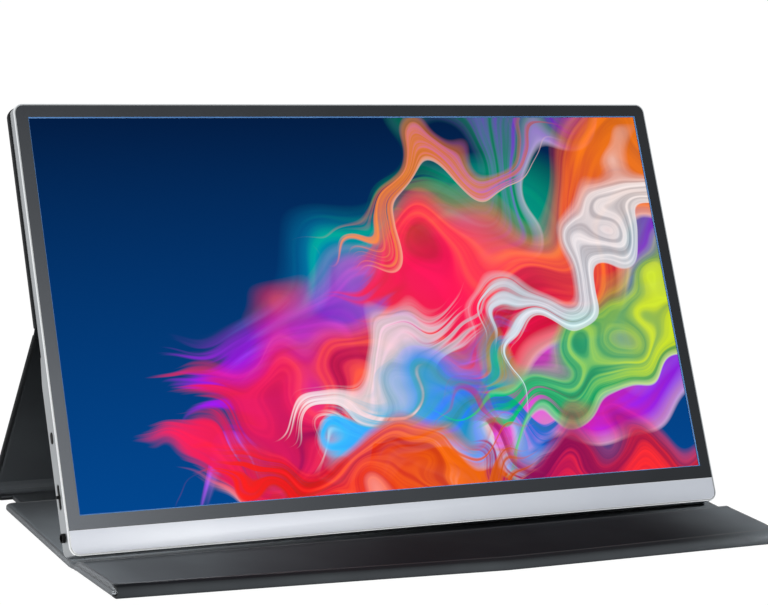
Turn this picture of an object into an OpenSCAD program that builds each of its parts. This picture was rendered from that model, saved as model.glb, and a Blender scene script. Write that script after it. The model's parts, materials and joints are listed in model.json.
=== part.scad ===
// Portable monitor in a folding cover, standing on its cover as on a desk.
//
// Frame: +X to the viewer's right, +Y to the back, +Z up. The origin is the centre of the
// base panel's underside, where the cover stands on the desk. Lengths are in millimetres.
// Inside at_monitor() x runs across the screen, y up the screen from its bottom edge, and
// z towards the viewer, with the housing's front face at z = 0.

/* [Screen] */
// Width of the lit picture, a 15.6 inch panel of 16:9
screen_w = 344.2; // [300:0.1:380]
// Height of the lit picture
screen_h = 193.6; // [170:0.1:215]
// From the picture to the housing's side face
side_border = 7.4; // [6.5:0.1:10]
// From the picture to the housing's top face
top_border = 7.4; // [6.5:0.1:10]
// Black border between the picture and the chin bar
bottom_border = 7.0; // [6:0.1:10]
// Height of the aluminium bar under the screen
chin_h = 12.4; // [12:0.1:16]

/* [Housing] */
// Thickness of the housing's thin upper part
body_t = 6.2; // [6.1:0.1:7.5]
// Thickness of the lower part that holds the boards
bulge_t = 9.8; // [9.7:0.1:12]
// Height of the thick lower part
bulge_h = 78; // [76.5:0.5:90]
// Height of the slope between the thick and the thin part
slope_h = 18; // [10:0.5:22]
// Radius of the housing's corners, seen from the front
corner_r = 5; // [3.5:0.1:8]
// Side wall of the housing, and its rim round the front
rim = 0.9; // [0.7:0.05:1.2]
// Back wall of the housing
back_wall = 1.0; // [0.8:0.05:1.2]
// Rounding of the bottom rear edge that the monitor stands on
foot_r = 2.5; // [1.5:0.1:3]
// Rounding of the rear side and top edges
edge_r = 1.2; // [0.6:0.1:1.5]

/* [Display] */
// How far the bezel lies below the rim
bezel_sink = 0.1; // [0.05:0.05:0.3]
// Thickness of the bezel frame
bezel_t = 0.8; // [0.5:0.05:1]
// Thickness of the tape behind the bezel
tape_t = 0.2; // [0.1:0.05:0.3]
// Thickness of the liquid crystal cell with its polarisers
cell_t = 1.1; // [0.9:0.05:1.2]
// Thickness of the stack of optical films
film_t = 0.4; // [0.3:0.05:0.5]
// Thickness of the light guide
guide_t = 0.6; // [0.4:0.05:0.7]
// Thickness of the reflector sheet
reflector_t = 0.2; // [0.1:0.05:0.25]
// Sheet thickness of the panel's steel tray
tray_t = 0.3; // [0.2:0.05:0.4]
// How far the panel reaches past the picture at the sides and the top
panel_margin = 3.2; // [2.6:0.1:4]
// How far the panel reaches below the picture
panel_ledge = 5.0; // [4.6:0.1:5.2]

/* [Controls and sockets] */
// Height of the power button's middle above the bottom edge
button_s = 57; // [50:0.5:64]
// Length of the power button
button_l = 5.4; // [4:0.1:8]
// Width of the power button
button_w = 3.0; // [2:0.1:3.2]
// Travel of the power button
button_travel = 0.3; // [0.2:0.05:0.5]
// Depth of the power button's middle behind the front face
button_d = 4.7; // [4.65:0.05:5.4]
// Height of the jog lever's middle above the bottom edge
jog_s = 29; // [25:0.5:35]
// Length of the jog lever
jog_l = 11.2; // [8:0.1:12]
// Width of the jog lever
jog_w = 1.7; // [1.4:0.1:1.8]
// Travel of the jog lever when it is pushed in
jog_travel = 0.35; // [0.2:0.05:0.45]
// Depth of the jog lever's bar behind the front face
jog_bar_d = 4.7; // [4.6:0.05:5.4]
// Depth of the jog control's mechanism behind the front face
control_d = 5.4; // [5.3:0.05:5.45]
// Height of the audio socket's middle above the bottom edge
jack_s = 9.9; // [9.3:0.1:11.2]
// Bore of the audio socket
jack_bore_r = 1.8; // [1.76:0.01:1.85]
// Depth of the audio socket's bore
jack_bore_l = 14; // [12:0.5:16]
// How far the audio socket's collar stands out of the wall
jack_proud = 1.5; // [0.5:0.1:1.8]
// Height of the lower USB-C socket's middle above the bottom edge
usb_s = 24; // [21:0.5:27]
// Distance between the two USB-C sockets
usb_pitch = 16; // [14:0.5:17]
// Height of the mini HDMI socket's middle above the bottom edge
hdmi_s = 58; // [55:0.5:60]
// Gap round a socket or a button in its wall
port_gap = 0.2; // [0.15:0.05:0.3]

/* [Boards] */
// Thickness of the circuit boards
board_t = 0.8; // [0.6:0.1:1]
// Width of the main board
main_board_w = 73; // [66:0.5:76]
// Width of the control board
control_board_w = 27; // [24:0.5:30]
// Height of both boards
board_h = 67; // [65.5:0.5:69]
// Shank radius of the board screws
screw_r = 0.75; // [0.6:0.05:0.9]
// Width of a speaker
speaker_w = 48; // [36:0.5:52]
// Height of a speaker
speaker_h = 18; // [14:0.5:20]
// Gap between the right speaker's box and the main board
speaker_gap = 6.6; // [4:0.1:10]
// Length of a magnet bar
magnet_l = 22; // [14:0.5:30]
// Width of a magnet bar
magnet_w = 6; // [4:0.5:8]
// Thickness of the magnet bars in the housing
magnet_t = 1.0; // [0.7:0.1:1.1]

/* [Cover] */
// How far the cover stands out past the housing at each side
cover_overhang = 0.5; // [0:0.1:3]
// Thickness of a cover panel
panel_t = 2.6; // [2.2:0.1:3.2]
// Thickness of the upper back panel, which holds the magnets
upper_panel_t = 3.5; // [3:0.1:4]
// Thickness of the outer leather
skin_t = 0.6; // [0.4:0.05:0.8]
// Thickness of the inner lining
lining_t = 0.5; // [0.3:0.05:0.7]
// Width of the turned-in leather edge round each stiffener
hem = 1.8; // [1.2:0.1:3]
// Depth of the base panel, front to back
base_d = 90.5; // [84:0.5:96]
// Width of the soft crease between the base and the spine
spine_crease_d = 6.2; // [4:0.1:9]
// Depth of the narrow spine panel behind the base
spine_d = 12.7; // [10:0.1:15]
// How far the rear creases' ends stop short of the panels' sides
crease_inset = 8.5; // [5:0.5:14]
// Depth of the front flap, from its crease to its front edge
front_flap_d = 45.5; // [40:0.5:60]
// From the flap's crease to the base panel's front end
crease_d = 8.6; // [7:0.1:10]
// Radius of the panels' corners
panel_corner_r = 5; // [3:0.5:9]
// Radius of the panels' corners beside a crease
crease_corner_r = 0.9; // [0.6:0.1:3]
// Radius of the spine panel's corners
spine_corner_r = 2.4; // [0.6:0.1:4]
// Radius of the lower corners of the lower back panel
notch_corner_r = 9; // [4:0.5:12]
// From a crease's axis to the panels beside it
fold_gap = 1.55; // [1.5:0.05:2]
// Thickness of the magnets sewn into the cover
cover_magnet_t = 1.0; // [0.6:0.1:1]

/* [Stand] */
// Lean of the screen from upright
tilt = 29.3; // [24:0.1:33]
// From the base panel's front end back to the monitor's bottom edge; negative is in front of it
foot_back = -4.0; // [-4.5:0.1:0]
// Clearance under the monitor's foot
foot_gap = 0.15; // [0.1:0.05:0.4]
// Height of the back's fold above the monitor's bottom edge
fold_s = 109; // [104:0.5:118]
// From the housing's back to the axis of that fold
fold_off = 3.4; // [3:0.1:4.5]
// Gap between the housing's back and the cover's upper panel
release_gap = 0.1; // [0.05:0.05:0.2]

/* [Hidden] */
$fn = 48;
eps = 0.01;
fit = 0.05;      // gap between neighbouring pieces inside the housing
body_w = screen_w + 2 * side_border;
picture_s = chin_h + bottom_border;
body_h = picture_s + screen_h + top_border;
cover_w = body_w + 2 * cover_overhang;

// Depths behind the front face, counted backwards through the display's layers
bezel_back = bezel_sink + bezel_t;
cell_front = bezel_back + tape_t;
film_front = cell_front + cell_t + fit;
guide_front = film_front + film_t + fit;
reflector_front = guide_front + guide_t + fit;
tray_front = reflector_front + reflector_t + fit;
panel_back = tray_front + tray_t;
panel_w = screen_w + 2 * panel_margin;
panel_bottom = picture_s - panel_ledge;
panel_top = picture_s + screen_h + panel_margin;
stack_w = panel_w - 2 * (tray_t + fit);
stack_top = panel_top - tray_t - fit;
led_h = 1.2;
guide_bottom = panel_bottom + tray_t + 2 * fit + led_h;

// The sockets stand between the display's tray and the boards, and the boards on stand-offs
usb_w = 3.26;
cavity_back = bulge_t - back_wall;
board_front = panel_back + fit + usb_w;
board_back = board_front + board_t;
board_gap = cavity_back - board_back;
board_bottom = 5.5;
main_x1 = body_w / 2 - rim - 1;
main_x0 = main_x1 - main_board_w;
control_x0 = -body_w / 2 + rim + 1;
control_x1 = control_x0 + control_board_w;
speaker_x = main_x0 - speaker_gap - speaker_w / 2;
screw_in = 3.5;
screw_xy = [[main_x0 + screw_in, board_bottom + screw_in],
            [main_x0 + screw_in, board_bottom + board_h - screw_in],
            [main_x1 - 9, board_bottom + screw_in],
            [main_x1 - 9, board_bottom + board_h - screw_in],
            [control_x1 - screw_in, board_bottom + screw_in],
            [control_x1 - screw_in, board_bottom + board_h - screw_in]];
standoff_r = screw_r + 0.95;
thread_l = board_gap + 0.4 * back_wall;
screw_head_t = 0.7;

usb_l = 8.94;
usb_len = 7.4;
hdmi_l = 11.2;
hdmi_w = 3.2;
hdmi_len = 7.6;
shell_t = 0.3;
usb_d = board_front - usb_w / 2;
hdmi_d = board_front - hdmi_w / 2;
jack_r = 2.2;
jack_d = 5.2;
jack_body_s = 6;
button_proud = 0.25;
jog_proud = 0.3;
jog_pin_r = 0.55;
jog_pin_fit = 0.05;
jog_pivot_x = 3.2;
jog_boss_r = 1.6;
ear_gap = 0.1;
ear_t = 0.55;

// The stand: the foot rests on the base, the back folds at the apex and runs down to the spine
base_front_y = -base_d / 2;
base_back_y = base_d / 2;
spine_front_y = base_back_y + spine_crease_d;
spine_back_y = spine_front_y + spine_d;
rear_crease_w = cover_w - 2 * crease_inset;
rear_axis = [spine_back_y + fold_gap, panel_t / 2];
monitor_y = base_front_y + foot_back;
monitor_z = panel_t + foot_gap + foot_r * (1 - cos(tilt)) + (bulge_t - foot_r) * sin(tilt);
fold_d = body_t + fold_off;
apex = [monitor_y + fold_s * sin(tilt) + fold_d * cos(tilt),
        monitor_z + fold_s * cos(tilt) - fold_d * sin(tilt)];
lower_back_lean = atan2(rear_axis.x - apex.x, apex.y - rear_axis.y);
lower_back_l = norm(apex - rear_axis);
// The lower panel's inner corner clears the spine's top edge
lower_start = max(fold_gap, (panel_t / 2 * (1 + sin(lower_back_lean)) + 0.3)
                            / cos(lower_back_lean));
bead_r = panel_t / 2 - 0.1;
layer_gap = 0.1;
flap_z = panel_t + layer_gap;
crease_axis = [base_front_y - crease_d, flap_z + panel_t / 2];
nose_r = panel_t + layer_gap / 2;
nose_axis = [crease_axis.x - fold_gap - front_flap_d, nose_r];
nose_gap = 0.3;
flap_front_y = nose_axis.x + nose_r + nose_gap;
upper_back_s = fold_s + 1.8;
upper_back_l = body_h + 0.2 - upper_back_s;

// ---- shared shapes ----

// Rectangle from [x0, y0] to [x1, y1] with one radius at its low-y corners and one at its high-y corners
module rounded_rect(x0, y0, x1, y1, r_low, r_high) {
    translate([x0, y0 + r_low]) square([x1 - x0, y1 - y0 - r_low - r_high]);
    translate([x0 + r_low, y0]) square([x1 - x0 - 2 * r_low, r_low + eps]);
    translate([x0 + r_high, y1 - r_high - eps]) square([x1 - x0 - 2 * r_high, r_high + eps]);
    for (x = [x0 + r_low, x1 - r_low]) translate([x, y0 + r_low]) circle(r_low);
    for (x = [x0 + r_high, x1 - r_high]) translate([x, y1 - r_high]) circle(r_high);
}

// Slot with round ends, l long in x and w wide in y
module pill(l, w) {
    square([l - w, w], center = true);
    for (x = [-1, 1]) translate([x * (l - w) / 2, 0]) circle(w / 2);
}

// A plate in the monitor's frame between two depths behind the front face
module layer(front, back) {
    translate([0, 0, -back]) linear_extrude(back - front) children();
}

// A box in the monitor's frame from [x0, s0] to [x1, s1] between two depths
module block(x0, s0, x1, s1, front, back) {
    translate([x0, s0, -back]) cube([x1 - x0, s1 - s0, back - front]);
}

module at_monitor() {
    translate([0, monitor_y, monitor_z]) rotate([90 - tilt, 0, 0]) children();
}

// Origin on the left wall's outer face, x into the housing
module at_left_wall(s, d) {
    translate([-body_w / 2, s, -d]) children();
}

// The same on the right wall, mirrored
module at_right_wall(s, d) {
    translate([body_w / 2, s, -d]) mirror([1, 0, 0]) children();
}

// Extrudes an outline (x along s, y along depth) inwards from x0 to x1
module inward(x0, x1) {
    translate([x0, 0, 0]) rotate([90, 0, 90]) linear_extrude(x1 - x0) children();
}

// A straight bar along X with the outline given as (y, z), over a width
module across(w) {
    translate([-w / 2, 0, 0]) rotate([90, 0, 90]) linear_extrude(w) children();
}

// ---- cover panels ----
// Each panel lies with its outer face at z = 0, its inner face at z = t, and y from 0 to l

module panel_outline(w, l, r_low, r_high, inset = 0) {
    rounded_rect(-w / 2 + inset, inset, w / 2 - inset, l - inset,
                 max(r_low - inset, 0.5), max(r_high - inset, 0.5));
}

module panel_skin(w, l, r_low, r_high, t = panel_t) {
    difference() {
        linear_extrude(t) panel_outline(w, l, r_low, r_high);
        translate([0, 0, skin_t]) linear_extrude(t) panel_outline(w, l, r_low, r_high, hem);
    }
}

module panel_stiffener(w, l, r_low, r_high, t = panel_t) {
    translate([0, 0, skin_t]) linear_extrude(t - skin_t - lining_t)
        panel_outline(w, l, r_low, r_high, hem);
}

module panel_lining(w, l, r_low, r_high, t = panel_t) {
    translate([0, 0, t - lining_t]) linear_extrude(lining_t)
        panel_outline(w, l, r_low, r_high, hem);
}

module at_base() { translate([0, base_front_y, 0]) children(); }
module at_spine() { translate([0, spine_front_y, 0]) children(); }
module at_front_flap() { translate([0, flap_front_y, flap_z]) children(); }
module at_tuck_flap() { translate([0, flap_front_y, panel_t]) mirror([0, 0, 1]) children(); }
module at_lower_back() {
    translate([0, rear_axis.x, rear_axis.y]) rotate([90 + lower_back_lean, 0, 0])
        translate([0, lower_start, -panel_t / 2]) children();
}
module at_upper_back() {
    at_monitor() translate([0, upper_back_s, -(body_t + release_gap + upper_panel_t)]) children();
}

front_flap_l = crease_axis.x - fold_gap - flap_front_y;
tuck_flap_l = base_front_y - crease_d - flap_front_y;
lower_l = lower_back_l - lower_start - fold_gap;
corner = panel_corner_r;
crease_corner = crease_corner_r;

module base_skin() { color("#3a3b3d") at_base() panel_skin(cover_w, base_d, crease_corner, corner); }
module base_stiffener() {
    color("#8a7a5e") at_base() panel_stiffener(cover_w, base_d, crease_corner, corner);
}
module base_lining() {
    color("#4a4b4d") at_base() panel_lining(cover_w, base_d, crease_corner, corner);
}

spine_corner = spine_corner_r;
module spine_skin() {
    color("#3a3b3d") at_spine() panel_skin(cover_w, spine_d, spine_corner, spine_corner);
}
module spine_stiffener() {
    color("#8a7a5e") at_spine() panel_stiffener(cover_w, spine_d, spine_corner, spine_corner);
}
module spine_lining() {
    color("#4a4b4d") at_spine() panel_lining(cover_w, spine_d, spine_corner, spine_corner);
}

module front_flap_skin() {
    color("#3a3b3d") at_front_flap() panel_skin(cover_w, front_flap_l, 1, crease_corner);
}
module front_flap_stiffener() {
    color("#8a7a5e") at_front_flap() panel_stiffener(cover_w, front_flap_l, 1, crease_corner);
}
module front_flap_lining() {
    color("#4a4b4d") at_front_flap() panel_lining(cover_w, front_flap_l, 1, crease_corner);
}

// Middles of the closing magnets, along the tuck flap
tuck_magnet_x = [for (f = [-0.38, -0.13, 0.13, 0.38]) f * cover_w];
module tuck_magnet_bars(grow) {
    for (x = tuck_magnet_x)
        translate([x - magnet_l / 2 - grow, tuck_flap_l - hem - magnet_w - 3 - grow,
                   panel_t - lining_t - cover_magnet_t])
            cube([magnet_l + 2 * grow, magnet_w + 2 * grow, cover_magnet_t + grow]);
}
module tuck_flap_skin() {
    color("#3a3b3d") at_tuck_flap() panel_skin(cover_w, tuck_flap_l, 1, corner);
}
module tuck_flap_stiffener() {
    color("#8a7a5e") at_tuck_flap() difference() {
        panel_stiffener(cover_w, tuck_flap_l, 1, corner);
        tuck_magnet_bars(fit);
    }
}
module tuck_flap_lining() {
    color("#4a4b4d") at_tuck_flap() panel_lining(cover_w, tuck_flap_l, 1, corner);
}
module tuck_flap_magnets() { color("#b8bac0") at_tuck_flap() tuck_magnet_bars(0); }

module lower_back_skin() {
    color("#3a3b3d") at_lower_back() panel_skin(cover_w, lower_l, notch_corner_r, crease_corner);
}
module lower_back_stiffener() {
    color("#8a7a5e") at_lower_back()
        panel_stiffener(cover_w, lower_l, notch_corner_r, crease_corner);
}
module lower_back_lining() {
    color("#2c2e30") at_lower_back()
        panel_lining(cover_w, lower_l, notch_corner_r, crease_corner);
}

// Middles of the magnets that hold the monitor: x across, and y up the upper panel
hold_magnet_x = [for (f = [-0.4, 0, 0.4]) f * body_w];
hold_magnet_s = [fold_s + 14, body_h - 14];
module upper_magnet_bars(grow) {
    for (x = hold_magnet_x, s = hold_magnet_s)
        translate([x - magnet_l / 2 - grow, s - upper_back_s - magnet_w / 2 - grow,
                   upper_panel_t - lining_t - cover_magnet_t])
            cube([magnet_l + 2 * grow, magnet_w + 2 * grow, cover_magnet_t + grow]);
}
module upper_back_skin() {
    color("#3a3b3d") at_upper_back()
        panel_skin(cover_w, upper_back_l, crease_corner, corner, upper_panel_t);
}
module upper_back_stiffener() {
    color("#8a7a5e") at_upper_back() difference() {
        panel_stiffener(cover_w, upper_back_l, crease_corner, corner, upper_panel_t);
        upper_magnet_bars(fit);
    }
}
module upper_back_lining() {
    color("#4a4b4d") at_upper_back()
        panel_lining(cover_w, upper_back_l, crease_corner, corner, upper_panel_t);
}
module upper_back_magnets() { color("#b8bac0") at_upper_back() upper_magnet_bars(0); }

// ---- creases ----

// Static crease between the base and the spine
module spine_fold() {
    color("#2e2f31") across(rear_crease_w)
        translate([base_back_y, 0.2]) square([spine_crease_d, panel_t - 0.4]);
}

// Round crease that both the swing back and the stand angle turn about
module rear_fold() {
    color("#2e2f31") across(rear_crease_w) translate(rear_axis) circle(bead_r);
}

// Ramp from the base up to the front flap, with the round crease that the flap turns about
module front_fold() {
    color("#2e2f31") across(cover_w) {
        translate(crease_axis) circle(bead_r);
        polygon([[base_front_y, 0], [base_front_y, panel_t],
                 [crease_axis.x + 0.4, crease_axis.y + bead_r - 0.1],
                 [crease_axis.x + 0.6, crease_axis.y - bead_r + 0.1],
                 [base_front_y - 2.5, 0]]);
    }
}

// Half-round nose between the front flap and the tuck flap
module nose_fold() {
    color("#3a3b3d") across(cover_w - 1) {
        translate(nose_axis) circle(nose_r - 0.02);
        translate([nose_axis.x, flap_z + 0.1])
            square([nose_r + nose_gap, panel_t - 0.2]);
    }
}

// Crease between the upper and the lower back, on the upper panel's end
module upper_fold() {
    d0 = body_t + release_gap + 0.2;
    color("#2e2f31") at_monitor() across(cover_w) {
        translate([fold_s, -fold_d]) circle(bead_r);
        polygon([[upper_back_s, -d0], [fold_s - 0.7 * bead_r, -(fold_d - 0.7 * bead_r)],
                 [fold_s + 0.5, -(fold_d + bead_r - 0.1)],
                 [upper_back_s, -(d0 + upper_panel_t - 0.4)]]);
    }
}

// ---- housing ----

// Side view of the housing, x up the screen and y towards the viewer
module housing_side() {
    difference() {
        polygon([[0, 0], [body_h, 0], [body_h, -body_t], [bulge_h + slope_h, -body_t],
                 [bulge_h, -bulge_t], [0, -bulge_t]]);
        translate([-eps, -bulge_t - eps]) square([foot_r + eps, foot_r + eps]);
        translate([body_h - edge_r, -body_t - eps]) square([edge_r + eps, edge_r + eps]);
    }
    translate([foot_r, -bulge_t + foot_r]) circle(foot_r);
    translate([body_h - edge_r, -body_t + edge_r]) circle(edge_r);
}

// Cross-section of a housing part that is t thick, with rounded rear side edges
module housing_section(t) {
    rounded_rect(-body_w / 2, -t, body_w / 2, eps, edge_r, eps);
}

module housing_body() {
    intersection() {
        across(body_w) housing_side();
        layer(0, bulge_t) rounded_rect(-body_w / 2, 0, body_w / 2, body_h, corner_r, corner_r);
        union() {
            translate([0, body_h, 0]) rotate([90, 0, 0]) linear_extrude(body_h)
                housing_section(body_t);
            translate([0, bulge_h + slope_h, 0]) rotate([90, 0, 0])
                linear_extrude(bulge_h + slope_h) housing_section(bulge_t);
        }
    }
}

module inner_outline(inset) {
    rounded_rect(-body_w / 2 + inset, inset, body_w / 2 - inset, body_h - inset,
                 corner_r - inset, corner_r - inset);
}

module housing_cavity() {
    layer(-1, body_t - back_wall) inner_outline(rim);
    cavity_top = bulge_h + slope_h - 2;
    intersection() {
        layer(-1, bulge_t) rounded_rect(-body_w / 2 + rim, foot_r + 0.5, body_w / 2 - rim,
                                        cavity_top, 1, 1);
        across(body_w) polygon([[0, 1], [cavity_top, 1], [cavity_top, -(body_t - back_wall)],
                                [bulge_h - 1.5, -cavity_back], [0, -cavity_back]]);
    }
}

// Slots over the speakers in the back wall
grille_n = 9;
grille_pitch = 4;
module grille(x) {
    for (i = [0 : grille_n - 1])
        translate([x + (i - (grille_n - 1) / 2) * grille_pitch, 17, -bulge_t - 1])
            linear_extrude(back_wall + 2) rotate(90) pill(9, 1.2);
}

module rear_housing() {
    color("#b8bbbe") at_monitor() difference() {
        union() {
            difference() {
                housing_body();
                housing_cavity();
            }
            for (p = screw_xy) translate([p.x, p.y, -cavity_back - eps])
                cylinder(r = standoff_r, h = board_gap + eps);
        }
        for (p = screw_xy) translate([p.x, p.y, -board_back - thread_l])
            cylinder(r = screw_r + fit, h = thread_l + 1);
        for (x = [-speaker_x, speaker_x]) grille(x);
        at_left_wall(button_s, button_d) inward(-1, rim + 1)
            pill(button_l + 2 * port_gap, button_w + 2 * port_gap);
        at_left_wall(jog_s, jog_bar_d) inward(-1, rim + 1) pill(jog_l + 1, jog_w + 1);
        at_left_wall(jack_s, jack_d) inward(-1, rim + 1) circle(jack_r + port_gap / 2);
        for (s = [usb_s, usb_s + usb_pitch]) at_right_wall(s, usb_d) inward(-1, rim + 1)
            pill(usb_l + 2 * port_gap, usb_w + 2 * port_gap);
        at_right_wall(hdmi_s, hdmi_d) inward(-1, rim + 1)
            hdmi_outline(hdmi_l + 2 * port_gap, hdmi_w + 2 * port_gap);
    }
}

// Outline of a mini HDMI socket, l long and w wide, with its two cut corners
module hdmi_outline(l, w) {
    cut = 0.8;
    polygon([[-l / 2, w / 2], [l / 2, w / 2], [l / 2, -w / 2 + cut], [l / 2 - cut, -w / 2],
             [-l / 2 + cut, -w / 2], [-l / 2, -w / 2 + cut]]);
}

module chin_bar() {
    color("#d4dae4") at_monitor() layer(0.05, bezel_back + tape_t)
        intersection() {
            inner_outline(rim + fit);
            translate([-body_w, 0]) square([2 * body_w, chin_h - fit]);
        }
}

module bezel_frame(inset, open) {
    difference() {
        intersection() {
            inner_outline(rim + fit + inset);
            translate([-body_w, chin_h + inset]) square([2 * body_w, body_h]);
        }
        translate([-screen_w / 2 - open, picture_s - open])
            square([screen_w + 2 * open, screen_h + 2 * open]);
    }
}

module front_bezel() {
    color("#2b2d2f") at_monitor() layer(bezel_sink, bezel_back) bezel_frame(0, 0);
}

module bezel_tape() {
    color("#17181a") at_monitor() layer(bezel_back, cell_front) bezel_frame(0.6, 0.8);
}

// A sheet of the display's stack over the panel, from a height up to the stack's top
module panel_sheet(front, t, bottom) {
    layer(front, front + t) translate([-stack_w / 2, bottom]) square([stack_w, stack_top - bottom]);
}

module lcd_cell() {
    color("#0a4a94") at_monitor() panel_sheet(cell_front, cell_t, panel_bottom + tray_t + fit);
}
module optical_films() {
    color("#e6e9ee") at_monitor() panel_sheet(film_front, film_t, guide_bottom);
}
module light_guide() {
    color("#dfeef5") at_monitor() panel_sheet(guide_front, guide_t, guide_bottom);
}
module reflector() {
    color("#f4f4f4") at_monitor() panel_sheet(reflector_front, reflector_t, guide_bottom);
}

// Strip of light diodes along the guide's lower edge
led_n = 42;
module led_strip() {
    s0 = panel_bottom + tray_t + fit;
    color("#f2e6a0") at_monitor() {
        block(-stack_w / 2, s0, stack_w / 2, s0 + 0.3, guide_front, reflector_front);
        for (i = [0 : led_n - 1]) {
            x = (i + 0.5 - led_n / 2) * stack_w / led_n;
            block(x - 1.8, s0 + 0.3, x + 1.8, s0 + led_h, guide_front, reflector_front);
        }
    }
}

module panel_tray() {
    color("#8f959b") at_monitor() difference() {
        block(-panel_w / 2, panel_bottom, panel_w / 2, panel_top, cell_front + 0.1, panel_back);
        block(-stack_w / 2 - fit, panel_bottom + tray_t, stack_w / 2 + fit,
              panel_top - tray_t, 0, tray_front);
    }
}

// ---- electronics ----

driver_w = 180;
driver_h = 8;
driver_t = 0.6;
module panel_driver_board() {
    color("#1f6a3c") at_monitor()
        block(-driver_w / 2, panel_bottom + 1, driver_w / 2, panel_bottom + 1 + driver_h,
              panel_back + fit, panel_back + fit + driver_t);
}

// Flat cable from the panel's board to the main board
flex_w = 14;
flex_t = 0.2;
flex_reach = 30;
flex_rise = 20;
flex_s = panel_bottom + 1 + driver_h;
module display_flex() {
    x0 = driver_w / 2 - flex_reach;
    top = flex_s + flex_rise;
    color("#c98a3c") at_monitor() {
        block(x0, flex_s, x0 + flex_w, top, panel_back + fit, panel_back + fit + flex_t);
        block(x0, top - flex_w, main_x0 + 12, top, panel_back + fit + flex_t,
              panel_back + fit + 2 * flex_t);
        block(main_x0 + 11, top - flex_w, main_x0 + 12, top, panel_back + fit + 2 * flex_t,
              board_front);
    }
}

module main_board() {
    color("#1c5c38") at_monitor() difference() {
        block(main_x0, board_bottom, main_x1, board_bottom + board_h, board_front, board_back);
        board_holes();
    }
}

module board_holes() {
    for (p = screw_xy) translate([p.x, p.y, -board_back - 1])
        cylinder(r = screw_r + 0.15, h = board_t + 2);
}

// Chips and coils on the main board: middle x from the board's left edge, s above its
// bottom edge, size in x and s, height
chips = [[28, 34, 15, 15, 1.2], [48, 46, 9, 9, 1.0], [46, 16, 6, 6, 2.2], [46, 26, 4, 4, 1.6],
         [22, 56, 8, 6, 0.9], [36, 58, 5, 4, 0.8], [58, 8, 5, 5, 1.8], [24, 12, 5, 4, 0.9]];
module main_board_parts() {
    color("#26282a") at_monitor()
        for (c = chips)
            block(main_x0 + c[0] - c[2] / 2, board_bottom + c[1] - c[3] / 2,
                  main_x0 + c[0] + c[2] / 2, board_bottom + c[1] + c[3] / 2,
                  board_front - c[4], board_front);
}

// Tin lid over the largest chip
shield_l = 22;
shield_h = 1.8;
module emi_shield() {
    x = main_x0 + chips[0][0] - shield_l / 2;
    s = board_bottom + chips[0][1] - shield_l / 2;
    color("#c8cbd0") at_monitor() difference() {
        block(x, s, x + shield_l, s + shield_l, board_front - shield_h, board_front);
        block(x + 0.3, s + 0.3, x + shield_l - 0.3, s + shield_l - 0.3,
              board_front - shield_h + 0.3, board_front + 1);
    }
}

// A socket's shell from its mouth inwards, with a closed back and a tongue
module usb_c_port(s) {
    at_right_wall(s, usb_d) {
        difference() {
            inward(0.1, usb_len) pill(usb_l, usb_w);
            inward(-1, usb_len - 0.5) pill(usb_l - 2 * shell_t, usb_w - 2 * shell_t);
        }
        inward(1.6, usb_len - 0.4) square([6.2, 0.7], center = true);
    }
}
module usb_c_port_lower() { color("#aeb2b8") at_monitor() usb_c_port(usb_s); }
module usb_c_port_upper() { color("#aeb2b8") at_monitor() usb_c_port(usb_s + usb_pitch); }

module mini_hdmi_port() {
    color("#aeb2b8") at_monitor() at_right_wall(hdmi_s, hdmi_d) {
        difference() {
            inward(0.1, hdmi_len) hdmi_outline(hdmi_l, hdmi_w);
            inward(-1, hdmi_len - 0.5)
                hdmi_outline(hdmi_l - 2 * shell_t, hdmi_w - 2 * shell_t);
        }
        inward(1.8, hdmi_len - 0.4) square([7.8, 0.7], center = true);
    }
}

module control_board() {
    color("#1c5c38") at_monitor() difference() {
        block(control_x0, board_bottom, control_x1, board_bottom + board_h, board_front,
              board_back);
        block(control_x0 - 1, jack_s - jack_body_s / 2 - fit - 10,
              -body_w / 2 + jack_bore_l + 2, jack_s + jack_body_s / 2 + 0.3, 0, bulge_t);
        board_holes();
    }
}

// Flat cable between the two boards, low behind the panel
control_flex_s = 46;
control_flex_w = 10;
module control_flex() {
    color("#c98a3c") at_monitor()
        block(control_x1, control_flex_s, main_x0, control_flex_s + control_flex_w,
              board_back - 2 * flex_t, board_back - flex_t);
}

module audio_jack() {
    color("#141516") at_monitor() at_left_wall(jack_s, jack_d) difference() {
        union() {
            inward(-jack_proud, rim + 0.2) circle(jack_r);
            inward(rim + 0.1, jack_bore_l - jack_proud + 0.8)
                square([jack_body_s, 2 * jack_r], center = true);
        }
        inward(-jack_proud - 1, jack_bore_l - jack_proud) circle(jack_bore_r);
    }
}

// Side-push switch on the control board behind the power button
module power_switch() {
    plunger = rim + fit + 0.55 + 0.7 + button_travel + fit;
    color("#d8dade") at_monitor() at_left_wall(button_s, button_d) {
        inward(plunger, plunger + 0.8) circle(0.7);
        translate([plunger + 0.8, -2.2, button_d - board_front])
            cube([3.2, 4.4, board_front - panel_back - 2 * fit]);
    }
}

module power_button() {
    color("#1b1c1e") at_monitor() at_left_wall(button_s, button_d) {
        inward(-button_proud, rim + 2 * fit) pill(button_l, button_w);
        inward(rim + fit, rim + fit + 0.55) pill(button_l + 1.6, button_w + 0.7);
        inward(rim + fit + 0.5, rim + fit + 0.55 + 0.7) circle(0.8);
    }
}

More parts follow.
